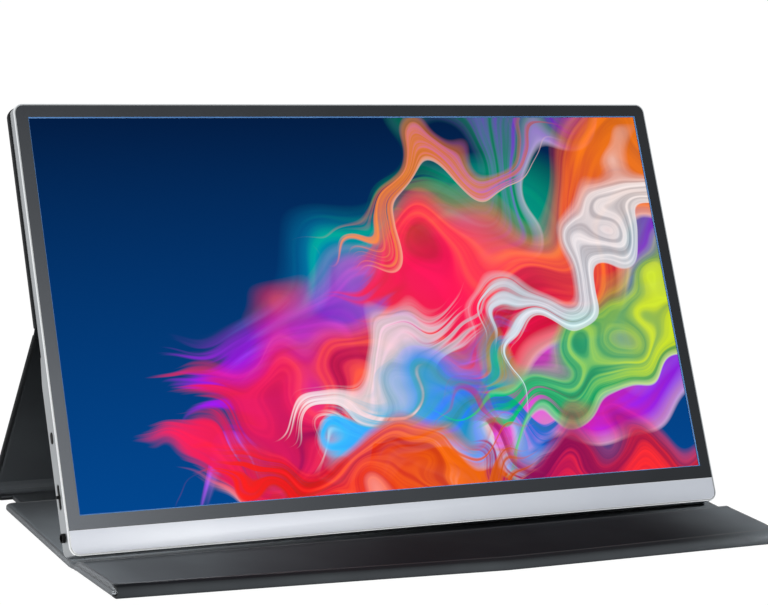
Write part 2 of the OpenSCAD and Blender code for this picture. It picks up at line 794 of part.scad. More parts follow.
// Jog control: a rocking lever on a carrier that slides in the switch
carrier_x = jog_pivot_x + jog_boss_r + 0.3;
carrier_back = carrier_x + 1.5;
carrier_half = 2.9;
module jog_switch() {
    top = control_d - panel_back - 2 * fit;
    bottom = control_d - board_front;
    back = carrier_back + jog_travel + fit;
    color("#2a2c2e") at_monitor() at_left_wall(jog_s, control_d) {
        translate([back, -4, bottom]) cube([3, 8, top - bottom]);
        for (s = [-4, carrier_half + 0.3]) translate([carrier_x, s, bottom])
            cube([back - carrier_x + eps, 4 - carrier_half - 0.3, top - bottom]);
    }
}

module jog_carrier() {
    half = jog_w / 2 + ear_gap;
    color("#c9ccd1") at_monitor() at_left_wall(jog_s, control_d) {
        translate([carrier_x, -carrier_half, -half - ear_t])
            cube([carrier_back - carrier_x, 2 * carrier_half, 2 * (half + ear_t)]);
        for (z = [-half - ear_t, half]) translate([jog_pivot_x - 0.9, -1.2, z])
            cube([carrier_x - jog_pivot_x + 0.9 + eps, 2.4, ear_t]);
        translate([jog_pivot_x, 0, -half - ear_t / 2])
            cylinder(r = jog_pin_r, h = 2 * half + ear_t);
    }
}

module jog_lever() {
    color("#111213") at_monitor() at_left_wall(jog_s, control_d) difference() {
        union() {
            translate([0, 0, control_d - jog_bar_d]) {
                inward(-jog_proud, jog_pivot_x - jog_boss_r) pill(jog_l, jog_w);
                inward(-1.5, 0) circle(0.8);
            }
            translate([jog_pivot_x, 0, -jog_w / 2]) cylinder(r = jog_boss_r, h = jog_w);
            translate([jog_pivot_x - jog_boss_r - 0.5, -1, -jog_w / 2]) cube([1.5, 2, jog_w]);
        }
        translate([jog_pivot_x, 0, -jog_w]) cylinder(r = jog_pin_r + jog_pin_fit, h = 2 * jog_w);
    }
}

// Closed speaker box with its round diaphragm, towards the back
module speaker(x) {
    front = panel_back + fit + driver_t + 0.3;
    color("#1e1f21") at_monitor() {
        block(x - speaker_w / 2, 8, x + speaker_w / 2, 8 + speaker_h, front, cavity_back - 0.8);
        translate([x - speaker_w / 5, 8 + speaker_h / 2, -cavity_back + fit])
            cylinder(r = speaker_h / 2 - 3, h = 0.8);
        translate([x + speaker_w / 5, 8 + speaker_h / 2, -cavity_back + fit])
            cylinder(r = speaker_h / 2 - 3, h = 0.8);
    }
}
module speaker_left() { speaker(-speaker_x); }
module speaker_right() { speaker(speaker_x); }

// Foam strips between the panel's tray and the thin back wall
module support_foam() {
    color("#4b4d50") at_monitor()
        for (x = [-0.27, 0, 0.27], s = [bulge_h + slope_h + 4, (bulge_h + body_h) / 2 + 4])
            block(x * body_w - 30, s, x * body_w + 30, s + 10, panel_back + fit,
                  body_t - back_wall - fit);
}

// Magnet bars that pull the cover's upper panel against the housing
module housing_magnets() {
    back = body_t - back_wall - fit;
    color("#b8bac0") at_monitor()
        for (x = hold_magnet_x, s = hold_magnet_s)
            block(x - magnet_l / 2, s - magnet_w / 2, x + magnet_l / 2, s + magnet_w / 2,
                  back - magnet_t, back);
}

module board_screws() {
    color("#a9adb3") at_monitor()
        for (p = screw_xy) translate([p.x, p.y, 0]) {
            translate([0, 0, -board_front]) cylinder(r = 1.5, h = screw_head_t);
            translate([0, 0, -board_back - thread_l + 0.1])
                cylinder(r = screw_r, h = thread_l - 0.1 + board_t + eps);
        }
}

// ---- every node ----

base_skin();
base_stiffener();
base_lining();
spine_skin();
spine_stiffener();
spine_lining();
spine_fold();
front_fold();
front_flap_skin();
front_flap_stiffener();
front_flap_lining();
nose_fold();
tuck_flap_skin();
tuck_flap_stiffener();
tuck_flap_lining();
tuck_flap_magnets();
rear_fold();
lower_back_skin();
lower_back_stiffener();
lower_back_lining();
upper_fold();
upper_back_skin();
upper_back_stiffener();
upper_back_lining();
upper_back_magnets();
rear_housing();
chin_bar();
front_bezel();
bezel_tape();
lcd_cell();
optical_films();
light_guide();
reflector();
led_strip();
panel_tray();
panel_driver_board();
display_flex();
main_board();
main_board_parts();
emi_shield();
usb_c_port_lower();
usb_c_port_upper();
mini_hdmi_port();
control_board();
control_flex();
audio_jack();
power_switch();
power_button();
jog_switch();
jog_carrier();
jog_lever();
speaker_left();
speaker_right();
support_foam();
housing_magnets();
board_screws();
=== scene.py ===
"""Portable monitor in a folding cover, propped up on its cover as on a desk.

Frame: +X to the viewer's right, +Y to the back, +Z up, origin under the middle of the base
panel. The sizes in the dataclasses below are in millimetres and repeat the CAD's own values;
Blender's own units are metres.
"""

from __future__ import annotations

import json
import logging
import math
from dataclasses import dataclass
from enum import Enum
from functools import cache
from typing import Callable, Iterable, Optional, Sequence

import bpy
from mathutils import Matrix, Vector

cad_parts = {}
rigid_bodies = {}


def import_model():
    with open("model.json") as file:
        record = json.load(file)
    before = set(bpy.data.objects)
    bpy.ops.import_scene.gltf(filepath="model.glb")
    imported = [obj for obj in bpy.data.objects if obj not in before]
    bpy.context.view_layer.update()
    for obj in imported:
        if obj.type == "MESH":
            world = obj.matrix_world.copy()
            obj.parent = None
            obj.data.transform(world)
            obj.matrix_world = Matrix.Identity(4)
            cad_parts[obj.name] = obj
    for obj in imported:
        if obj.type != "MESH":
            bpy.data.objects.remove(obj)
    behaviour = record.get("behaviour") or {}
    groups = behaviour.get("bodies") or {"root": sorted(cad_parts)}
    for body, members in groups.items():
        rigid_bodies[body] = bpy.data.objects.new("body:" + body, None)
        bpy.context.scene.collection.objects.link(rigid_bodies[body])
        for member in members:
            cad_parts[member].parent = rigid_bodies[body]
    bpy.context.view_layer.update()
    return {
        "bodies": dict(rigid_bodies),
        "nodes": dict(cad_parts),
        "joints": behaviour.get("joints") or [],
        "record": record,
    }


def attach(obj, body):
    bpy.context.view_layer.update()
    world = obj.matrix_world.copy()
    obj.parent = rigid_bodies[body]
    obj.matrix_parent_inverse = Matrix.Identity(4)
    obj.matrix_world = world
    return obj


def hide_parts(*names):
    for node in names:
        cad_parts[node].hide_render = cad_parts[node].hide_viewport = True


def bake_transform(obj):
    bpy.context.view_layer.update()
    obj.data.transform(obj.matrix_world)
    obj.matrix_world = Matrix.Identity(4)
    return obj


LOG = logging.getLogger("portable_monitor")
MM = 0.001
NEAR = 1e-3  # places nearer than this, in millimetres, count as one

Point2 = tuple[float, float]
Colour = tuple[float, float, float, float]
PairTest = Callable[[Vector, Vector], bool]
Obj = bpy.types.Object
Tree = bpy.types.NodeTree
Node = bpy.types.Node
Socket = bpy.types.NodeSocket


class Body(Enum):
    """The CAD bodies that pieces ride on."""

    BASE = "base"
    FRONT_FLAP = "front_flap"
    TUCK_FLAP = "tuck_flap"
    REAR_CREASE = "rear_crease"
    LOWER_BACK = "lower_back"
    UPPER_BACK = "upper_back"
    MONITOR = "monitor"
    POWER_KEY = "power_key"
    JOG_KNOB = "jog_knob"


class Domain(Enum):
    """What is selected in edit mode."""

    EDGE = "EDGE"
    FACE = "FACE"


class Texture(Enum):
    """How a surface was made, which settles the relief that it gets."""

    EMBOSSED = "embossed leather grain"
    WRINKLED = "leather worked by folding"
    NAPPED = "napped microfibre"
    BLASTED = "bead-blasted metal"
    MOULDED = "moulded plastic"
    PRESSED = "pressed fibre"
    LAMINATED = "laminated board"


# ---- sizes ----


@dataclass(frozen=True)
class Layout:
    """Where the parts of the stand lie, in millimetres and degrees."""

    tilt: float = 29.3
    body_w: float = 359.0
    body_h: float = 220.4
    body_t: float = 6.2
    rim: float = 0.9
    corner_r: float = 5.0
    picture_w: float = 344.2
    picture_h: float = 193.6
    picture_s: float = 19.4
    monitor_y: float = -49.25
    monitor_z: float = 6.6423
    cover_w: float = 360.0
    panel_t: float = 2.6
    upper_t: float = 3.5
    skin_t: float = 0.6
    lining_t: float = 0.5
    hem: float = 1.8
    base_d: float = 90.5
    spine_crease: float = 6.2
    spine_trim: float = 4.6
    spine_d: float = 12.7
    crease_w: float = 343.0
    fold_gap: float = 1.55
    board_inset: float = 1.5
    layer_gap: float = 0.1
    crease_y: float = -53.85
    nose_y: float = -100.9
    nose_z: float = 2.65
    nose_r: float = 2.05
    flap_front_y: float = -97.95
    tuck_reach: float = 4.0
    rear_y: float = 65.7
    rear_z: float = 1.3
    rear_r: float = 1.02
    fold_s: float = 109.0
    fold_d: float = 9.6
    upper_s: float = 110.8
    upper_over: float = 0.2
    release_gap: float = 0.1

    @property
    def lean(self) -> float:
        """Lean of the screen from upright, in radians."""
        return math.radians(self.tilt)

    def on_monitor(self, s: float, depth: float) -> Point2:
        """Gives the (y, z) of a point on the monitor.

        Args:
            s: distance up the screen from the monitor's bottom edge.
            depth: distance behind the front face.

        Returns:
            The point's y and z in the row frame.
        """
        sin, cos = math.sin(self.lean), math.cos(self.lean)
        return self.monitor_y + s * sin + depth * cos, self.monitor_z + s * cos - depth * sin

    @property
    def spine_front(self) -> float:
        """Where the spine panel starts, behind the crease that joins it to the base."""
        return self.base_d / 2 + self.spine_crease + self.spine_trim

    @property
    def apex(self) -> Point2:
        """The axis of the back's upper fold."""
        return self.on_monitor(self.fold_s, self.fold_d)

    @property
    def lower_lean(self) -> float:
        """Lean of the lower back panel from upright, in radians."""
        y, z = self.apex
        return math.atan2(self.rear_y - y, z - self.rear_z)

    @property
    def lower_start(self) -> float:
        """From the rear axis to the lower back panel's end."""
        lean = self.lower_lean
        return max(self.fold_gap, (self.panel_t / 2 * (1 + math.sin(lean)) + 0.3) / math.cos(lean))

    @property
    def lower_length(self) -> float:
        """Length of the lower back panel."""
        return self.back_length - self.lower_start - self.fold_gap

    @property
    def back_length(self) -> float:
        """Distance from the rear axis to the apex."""
        y, z = self.apex
        return math.hypot(self.rear_y - y, z - self.rear_z)

    def on_lower(self, along: float, out: float) -> Point2:
        """Gives the (y, z) of a point on the lower back.

        Args:
            along: distance from the rear axis up the panel.
            out: distance behind the panel's middle plane.

        Returns:
            The point's y and z in the row frame.
        """
        sin, cos = math.sin(self.lower_lean), math.cos(self.lower_lean)
        return self.rear_y - along * sin + out * cos, self.rear_z + along * cos + out * sin


LAYOUT = Layout()


# ---- operators in edit mode ----


def deselect_all() -> None:
    """Leaves edit mode and deselects every object."""
    if bpy.context.object and bpy.context.object.mode != "OBJECT":
        bpy.ops.object.mode_set(mode="OBJECT")
    bpy.ops.object.select_all(action="DESELECT")


def make_active(obj: Obj) -> None:
    """Makes obj the only selected object and the active one."""
    deselect_all()
    obj.select_set(True)
    bpy.context.view_layer.objects.active = obj


def open_edit(obj: Obj, domain: Domain = Domain.FACE, test: Optional[PairTest] = None) -> None:
    """Opens edit mode with only the edges or faces selected that pass a test.

    Args:
        obj: the mesh object.
        domain: whether edges or faces are tested.
        test: gets an edge's two ends, or a face's middle (in millimetres) and its normal;
            without one all are selected.
    """
    make_active(obj)
    mesh = obj.data
    for items in (mesh.vertices, mesh.edges, mesh.polygons):
        items.foreach_set("select", [False] * len(items))
    edges = domain is Domain.EDGE
    bpy.context.tool_settings.mesh_select_mode = (False, edges, not edges)
    for item in mesh.edges if edges else mesh.polygons:
        if test is None:
            item.select = True
        elif edges:
            item.select = bool(test(*(mesh.vertices[i].co / MM for i in item.vertices)))
        else:
            item.select = bool(test(item.center / MM, item.normal))
    bpy.ops.object.mode_set(mode="EDIT")


def close_edit() -> None:
    """Leaves edit mode."""
    bpy.ops.object.mode_set(mode="OBJECT")


def bevel_edges(obj: Obj, test: PairTest, width: float, segments: int, material: int = -1) -> None:
    """Rounds or chamfers the edges that pass a test.

    Args:
        obj: the mesh object.
        test: gets an edge's two ends in millimetres.
        width: width of the bevel in millimetres.
        segments: steps of the rounding, 1 for a chamfer.
        material: material slot of the new faces, -1 to keep their neighbours'.
    """
    open_edit(obj, Domain.EDGE, test)
    bpy.ops.mesh.bevel(offset=width * MM, offset_type="OFFSET", segments=segments,
                       affect="EDGES", clamp_overlap=True, material=material)
    close_edit()


def cut_across(obj: Obj, axis: int, places: Iterable[float]) -> None:
    """Cuts a mesh into columns or rows by planes.

    Args:
        obj: the mesh object.
        axis: 0 for planes across X, 1 for planes across Y.
        places: the planes' places in millimetres.
    """
    open_edit(obj)
    normal = (1, 0, 0) if axis == 0 else (0, 1, 0)
    for place in places:
        bpy.ops.mesh.select_all(action="SELECT")
        bpy.ops.mesh.bisect(plane_co=tuple(place * MM * n for n in normal), plane_no=normal)
    close_edit()


def outward(obj: Obj) -> None:
    """Points the faces of a closed mesh outwards."""
    open_edit(obj)
    bpy.ops.mesh.normals_make_consistent(inside=False)
    close_edit()


def place_mesh(obj: Obj, place: Matrix) -> None:
    """Moves a mesh's own points and leaves its object at the origin."""
    obj.data.transform(place)
    obj.data.update()


def extrude(y: float, z: float) -> None:
    """Extrudes what is selected by a way in millimetres."""
    bpy.ops.mesh.extrude_region_move(TRANSFORM_OT_translate={"value": (0, y * MM, z * MM)})


def apply_modifier(obj: Obj, kind: str, **settings: object) -> None:
    """Adds a modifier with its settings and applies it."""
    make_active(obj)
    modifier = obj.modifiers.new(kind.title(), kind)
    for key, value in settings.items():
        setattr(modifier, key, value)
    bpy.ops.object.modifier_apply(modifier=modifier.name)


def smooth(obj: Obj, degrees: float) -> None:
    """Shades a mesh smooth, apart from edges sharper than an angle."""
    make_active(obj)
    bpy.ops.object.shade_smooth_by_angle(angle=math.radians(degrees))


def take_new(name: str) -> Obj:
    """Names the primitive just added, and puts its place and scale into its mesh."""
    obj = bpy.context.object
    obj.name = obj.data.name = name
    bpy.ops.object.transform_apply(location=True, rotation=True, scale=True)
    return obj


def in_frame(point: Point2) -> tuple[float, float, float]:
    """Gives a (y, z) point in millimetres as a place in metres."""
    return 0.0, point[0] * MM, point[1] * MM


def slab(name: str, low: Vector, high: Vector) -> Obj:
    """Adds a block between two corners in millimetres, to be shaped further.

    Args:
        name: name of the piece.
        low: its lowest corner.
        high: its highest corner.

    Returns:
        The new object, at the origin.
    """
    deselect_all()
    bpy.ops.mesh.primitive_cube_add(size=1, location=(low + high) / 2 * MM, scale=(high - low) * MM)
    return take_new(name)


def round_corners(obj: Obj, side: int, edge_y: float, radius: float) -> None:
    """Rounds the two upright corners of a slab that lie at one y.

    Args:
        obj: the slab.
        side: -1 for its low-y corners, 1 for its high-y corners.
        edge_y: y of that side in millimetres.
        radius: radius of the corners in millimetres.
    """

    def upright(a: Vector, b: Vector) -> bool:
        flat = abs(a.x - b.x) < NEAR and abs(a.y - b.y) < NEAR
        return flat and (a.y - edge_y) * side > -NEAR

    bevel_edges(obj, upright, radius, 10 if radius > 2 else 6)


# ---- finishes ----


def linear(code: str) -> Colour:
    """Turns an sRGB hex colour into linear values with full alpha."""
    values = []
    for i in (1, 3, 5):
        c = int(code[i : i + 2], 16) / 255
        values.append(c / 12.92 if c <= 0.04045 else ((c + 0.055) / 1.055) ** 2.4)
    return (*values, 1.0)


def grey(level: float) -> Colour:
    """Gives a linear grey with full alpha."""
    return level, level, level, 1.0


def add_node(tree: Tree, kind: str, inputs: Optional[dict] = None, **settings: object) -> Node:
    """Adds a node with its settings, and sets or links its inputs.

    Args:
        tree: the node tree.
        kind: Blender's name of the node, without its first word ShaderNode.
        inputs: for each input named, a value, another node's output, or another node, which
            stands for its first output.
        settings: the node's own settings.

    Returns:
        The new node.
    """
    node = tree.nodes.new(f"ShaderNode{kind}")
    for key, value in settings.items():
        setattr(node, key, value)
    for key, value in (inputs or {}).items():
        if isinstance(value, Node):
            value = next(output for output in value.outputs if output.enabled)
        if isinstance(value, Socket):
            tree.links.new(value, node.inputs[key])
        else:
            node.inputs[key].default_value = value
    return node


def colour_ramp(
    tree: Tree, factor: Node, stops: Sequence[tuple[float, Colour]], eased: bool = True
) -> Node:
    """Adds a colour ramp with its stops.

    Args:
        tree: the node tree.
        factor: what the ramp is read by.
        stops: position and linear colour of each stop.
        eased: whether the colours ease into each other.

    Returns:
        The ramp.
    """
    node = add_node(tree, "ValToRGB", {"Fac": factor})
    ramp = node.color_ramp
    ramp.interpolation = "EASE" if eased else "LINEAR"
    while len(ramp.elements) < len(stops):
        ramp.elements.new(1.0)
    for element, (position, colour) in zip(ramp.elements, stops):
        element.position, element.color = position, colour
    return node


def new_tree(name: str) -> tuple[bpy.types.Material, Tree]:
    """Makes an empty node material and gives it with its tree."""
    material = bpy.data.materials.new(name)
    material.use_nodes = True
    material.node_tree.nodes.clear()
    return material, material.node_tree


def show(material: bpy.types.Material, inputs: dict, plain: str) -> bpy.types.Material:
    """Ends a material with its shader.

    Args:
        material: the material.
        inputs: the shader's inputs.
        plain: the hex colour that stands for it where nodes aren't read.

    Returns:
        The same material.
    """
    tree = material.node_tree
    add_node(tree, "OutputMaterial", {"Surface": add_node(tree, "BsdfPrincipled", inputs)})
    material.diffuse_color = linear(plain)
    return material


@dataclass(frozen=True)
class Finish:
    """A surface: what it is made of, how it was made, and what that gives the eye."""

    name: str
    texture: Texture
    colour: str
    drift: str
    roughness: float
    metallic: float = 0.0
    specular: float = 0.5
    grain: float = 0.5  # width of the relief's grain, millimetres
    relief: float = 0.03  # height of the relief, millimetres
    cloud: float = 30.0  # distance over which the colour drifts, millimetres
    sheen_drift: float = 0.05  # how far the roughness varies with the relief
    strength: float = 0.6  # how strongly the relief turns the light

    def height(self, tree: Tree, place: Socket) -> Node:
        """Adds the nodes of the relief.

        Args:
            tree: the material's tree.
            place: object coordinates in metres.

        Returns:
            The node that gives the relief's height, from 0 to 1.
        """
        per_metre = 1.0 / (self.grain * MM)
        noise = {"Vector": place, "Scale": per_metre, "Detail": 2.0}
        if self.texture is Texture.EMBOSSED:
            # Pebbles, whose outlines a coarser noise bends a little.
            bent = add_node(tree, "TexNoise", noise | {"Scale": per_metre / 3}).outputs["Color"]
            shift = {"Factor": 0.0006, "A": place, "B": bent}
            cells = {"Vector": add_node(tree, "Mix", shift, data_type="VECTOR"), "Scale": per_metre}
            return add_node(tree, "TexVoronoi", cells, feature="SMOOTH_F1")
        if self.texture is Texture.WRINKLED:
            # Wrinkles four times as long along the fold as across it.
            along = add_node(tree, "Mapping", {"Vector": place, "Scale": (0.25, 1.0, 1.0)})
            noise |= {"Vector": along, "Detail": 4.0, "Distortion": 0.6}
        elif self.texture in (Texture.NAPPED, Texture.PRESSED):
            noise["Detail"] = 6.0
        return add_node(tree, "TexNoise", noise)

    def build(self) -> bpy.types.Material:
        """Makes the material."""
        material, tree = new_tree(self.name)
        place = add_node(tree, "TexCoord").outputs["Object"]
        noise = {"Vector": place, "Scale": 1 / (self.cloud * MM), "Detail": 3.0}
        clouds = add_node(tree, "TexNoise", noise)
        height = self.height(tree, place)
        low, high = self.roughness - self.sheen_drift, self.roughness + self.sheen_drift
        rough = add_node(tree, "MapRange", {"Value": height, "To Min": low, "To Max": high})
        relief = {"Height": height, "Strength": self.strength, "Distance": self.relief * MM}
        bump = add_node(tree, "Bump", relief)
        tint = colour_ramp(tree, clouds, [(0.32, linear(self.colour)), (0.7, linear(self.drift))])
        inputs = {"Base Color": tint, "Metallic": self.metallic, "Roughness": rough, "Normal": bump}
        if self.metallic == 0.0:
            inputs["Specular IOR Level"] = self.specular
        return show(material, inputs, self.colour)


@dataclass(frozen=True)
class Band:
    """One flowing band of colour in the picture, in millimetres and degrees."""

    angle: float
    centre: float
    width: float
    sway: float
    stretch: float
    seed: float
    start: float
    colours: tuple[str, ...]
    density: float = 1.0
    end: float = 400.0


@dataclass(frozen=True)
class PictureFinish:
    """The lit picture on an anti-glare display: bands of colour that flow over a blue ground."""

    name: str = "anti-glare display, lit"
    depth: float = 1.1  # from the front face back to the picture
    threads_along: float = 0.009  # threads for each millimetre along a band
    threads_across: float = 8.0  # threads across a band
    ragged: float = 150.0  # how far apart a band's threads end
    run: float = 380.0  # length of a band's run through its colours
    mingle: float = 0.55  # how far its threads shift in that run
    top: str = "#001c44"
    bottom: str = "#00468e"
    bands: tuple[Band, ...] = (
        Band(22, -20, 130, 90, 95, 3.1, -70, ("#0060c8", "#009fe8", "#00c8a8", "#00a060"), 0.9),
        Band(48, 6, 64, 70, 60, 15.3, 50, ("#8a00e0", "#e020c0", "#00b070", "#7a00d0"), 0.85),
        Band(14, -36, 110, 84, 80, 11.7, -100, ("#5a14e0", "#a414f0", "#f028d8", "#8c1ce8"), 0.95),
        Band(36, -18, 84, 90, 74, 23.9, 0, ("#ff8a00", "#ff3a00", "#ff1048", "#ff7a10")),
        Band(2, -52, 84, 70, 52, 37.3, -112, ("#ff2090", "#ff2050", "#ff6a00", "#ffa800"), 1.0, 60),
        Band(
            24, -40, 36, 74, 52, 83.2, -60, ("#f6ecff", "#ffffff", "#ffd8f0", "#d8f4ff"), 0.85, 30),
        Band(14, -58, 70, 50, 44, 97.1, -30, ("#00b4f0", "#18d8e8", "#0a78ff", "#0050e0"), 1.0, 60),
        Band(18, -70, 52, 66, 46, 51.1, 36, ("#7ed800", "#2fb400", "#00c87a", "#c8e000")),
        Band(-6, -82, 52, 60, 46, 67.5, 56, ("#ff006a", "#e00030", "#b00060", "#ff2a2a")),
        Band(8, -84, 44, 50, 40, 29.4, -100, ("#ff5a00", "#ff1e1e", "#ff7800", "#ff2a5a"), 1.0, 40),
        Band(40, -66, 30, 60, 48, 71.9, 40, ("#ffffff", "#ffe6f4", "#d8f4ff", "#ffffff"), 0.85),
        Band(30, 30, 26, 60, 50, 44.8, 20, ("#c020ff", "#ff40c0", "#ff8a30", "#8020f0"), 0.9, 130),
    )

    def _band(self, tree: Tree, place: Node, below: Node, band: Band) -> Node:
        """Lays one band over what is below it.

        Args:
            tree: the material's tree.
            place: place on the picture from its middle, in millimetres.
            below: the colour below.
            band: the band.

        Returns:
            The colour with the band on it.
        """

        def maths(kind: str, *values: object) -> Node:
            return add_node(tree, "Math", dict(enumerate(values)), operation=kind)

        def off_middle(value: Node, times: float) -> Node:
            return maths("MULTIPLY", maths("SUBTRACT", value, 0.5), times)

        def mix(factor: Node, a: Node, b: object, **settings: object) -> Node:
            inputs = {"Factor": factor, "A": a, "B": b}
            return add_node(tree, "Mix", inputs, data_type="RGBA", **settings)

        turn = {"Rotation": (0, 0, -math.radians(band.angle)), "Location": (0, 0, band.seed)}
        turned = add_node(tree, "Mapping", {"Vector": place} | turn)
        axes = add_node(tree, "SeparateXYZ", {"Vector": turned}).outputs
        along = axes["X"]
        waves = {"Vector": turned, "Scale": 1 / band.stretch, "Detail": 1.0, "Roughness": 0.35}
        sway = off_middle(add_node(tree, "TexNoise", waves), 2 * band.sway)
        across = maths("ADD", axes["Y"], sway)
        near_edge = band.centre - band.width / 2
        depth = maths("DIVIDE", maths("SUBTRACT", across, near_edge), band.width)
        # Fine threads of lighter and darker colour run along the band.
        grid = {
            "X": maths("MULTIPLY", along, self.threads_along),
            "Y": maths("MULTIPLY", depth, self.threads_across), "Z": band.seed,
        }
        grid = add_node(tree, "CombineXYZ", grid)
        fibres = {"Vector": grid, "Scale": 1.0, "Detail": 3.0, "Distortion": 0.4}
        threads = add_node(tree, "TexNoise", fibres)
        stops = [(0.0, grey(0)), (0.035, grey(1)), (0.7, grey(0.92)), (1.0, grey(0))]
        cover = colour_ramp(tree, depth, stops, False)
        reach = maths("ADD", along, off_middle(threads, self.ragged))
        fades = []
        for at, side in ((band.start, 1), (band.end, -1)):
            ends = {"Value": reach, "From Min": at - side * 10, "From Max": at + side * 16}
            fades.append(add_node(tree, "MapRange", ends, interpolation_type="SMOOTHSTEP"))
        cover = maths("MULTIPLY", cover, maths("MULTIPLY", *fades))
        alpha = maths("MULTIPLY", cover, band.density)
        part = maths("ADD", maths("DIVIDE", along, self.run), 0.5)
        part = maths("ADD", part, off_middle(threads, self.mingle))
        last = len(band.colours) - 1
        hue = colour_ramp(tree, part, [(i / last, linear(c)) for i, c in enumerate(band.colours)])
        span = {"From Min": 0.25, "From Max": 0.75, "To Min": 0.4, "To Max": 1.2}
        light = add_node(tree, "MapRange", {"Value": threads} | span)
        lit = add_node(tree, "VectorMath", {0: hue, "Scale": light}, operation="SCALE")
        rim = [(0.0, grey(0.6)), (0.05, grey(0.25)), (0.16, grey(0))]
        bright = mix(colour_ramp(tree, depth, rim, False), lit, (1.0, 0.94, 0.97, 1.0))
        return mix(alpha, below, bright, clamp_result=True)

    def build(self) -> bpy.types.Material:
        """Makes the material."""
        material, tree = new_tree(self.name)
        k = LAYOUT
        half = k.picture_h / 2
        frame = {
            "Vector": add_node(tree, "TexCoord").outputs["Object"],
            "Location": in_frame(k.on_monitor(k.picture_s + half, self.depth)),
            "Rotation": (math.radians(90 - k.tilt), 0, 0),
            "Scale": (MM, MM, MM),
        }
        place = add_node(tree, "Mapping", frame, vector_type="TEXTURE")
        height = add_node(tree, "SeparateXYZ", {"Vector": place}).outputs["Y"]
        fall = add_node(tree, "MapRange", {"Value": height, "From Min": -half, "From Max": half})
        ground = [(0.0, linear(self.bottom)), (1.0, linear(self.top))]
        picture = colour_ramp(tree, fall, ground, False)
        for band in self.bands:
            picture = self._band(tree, place, picture, band)
        inputs = {
            "Base Color": linear("#020304"), "Roughness": 0.6, "Specular IOR Level": 0.01,
            "Emission Color": picture, "Emission Strength": 1.0,
        }
        return show(material, inputs, self.bottom)


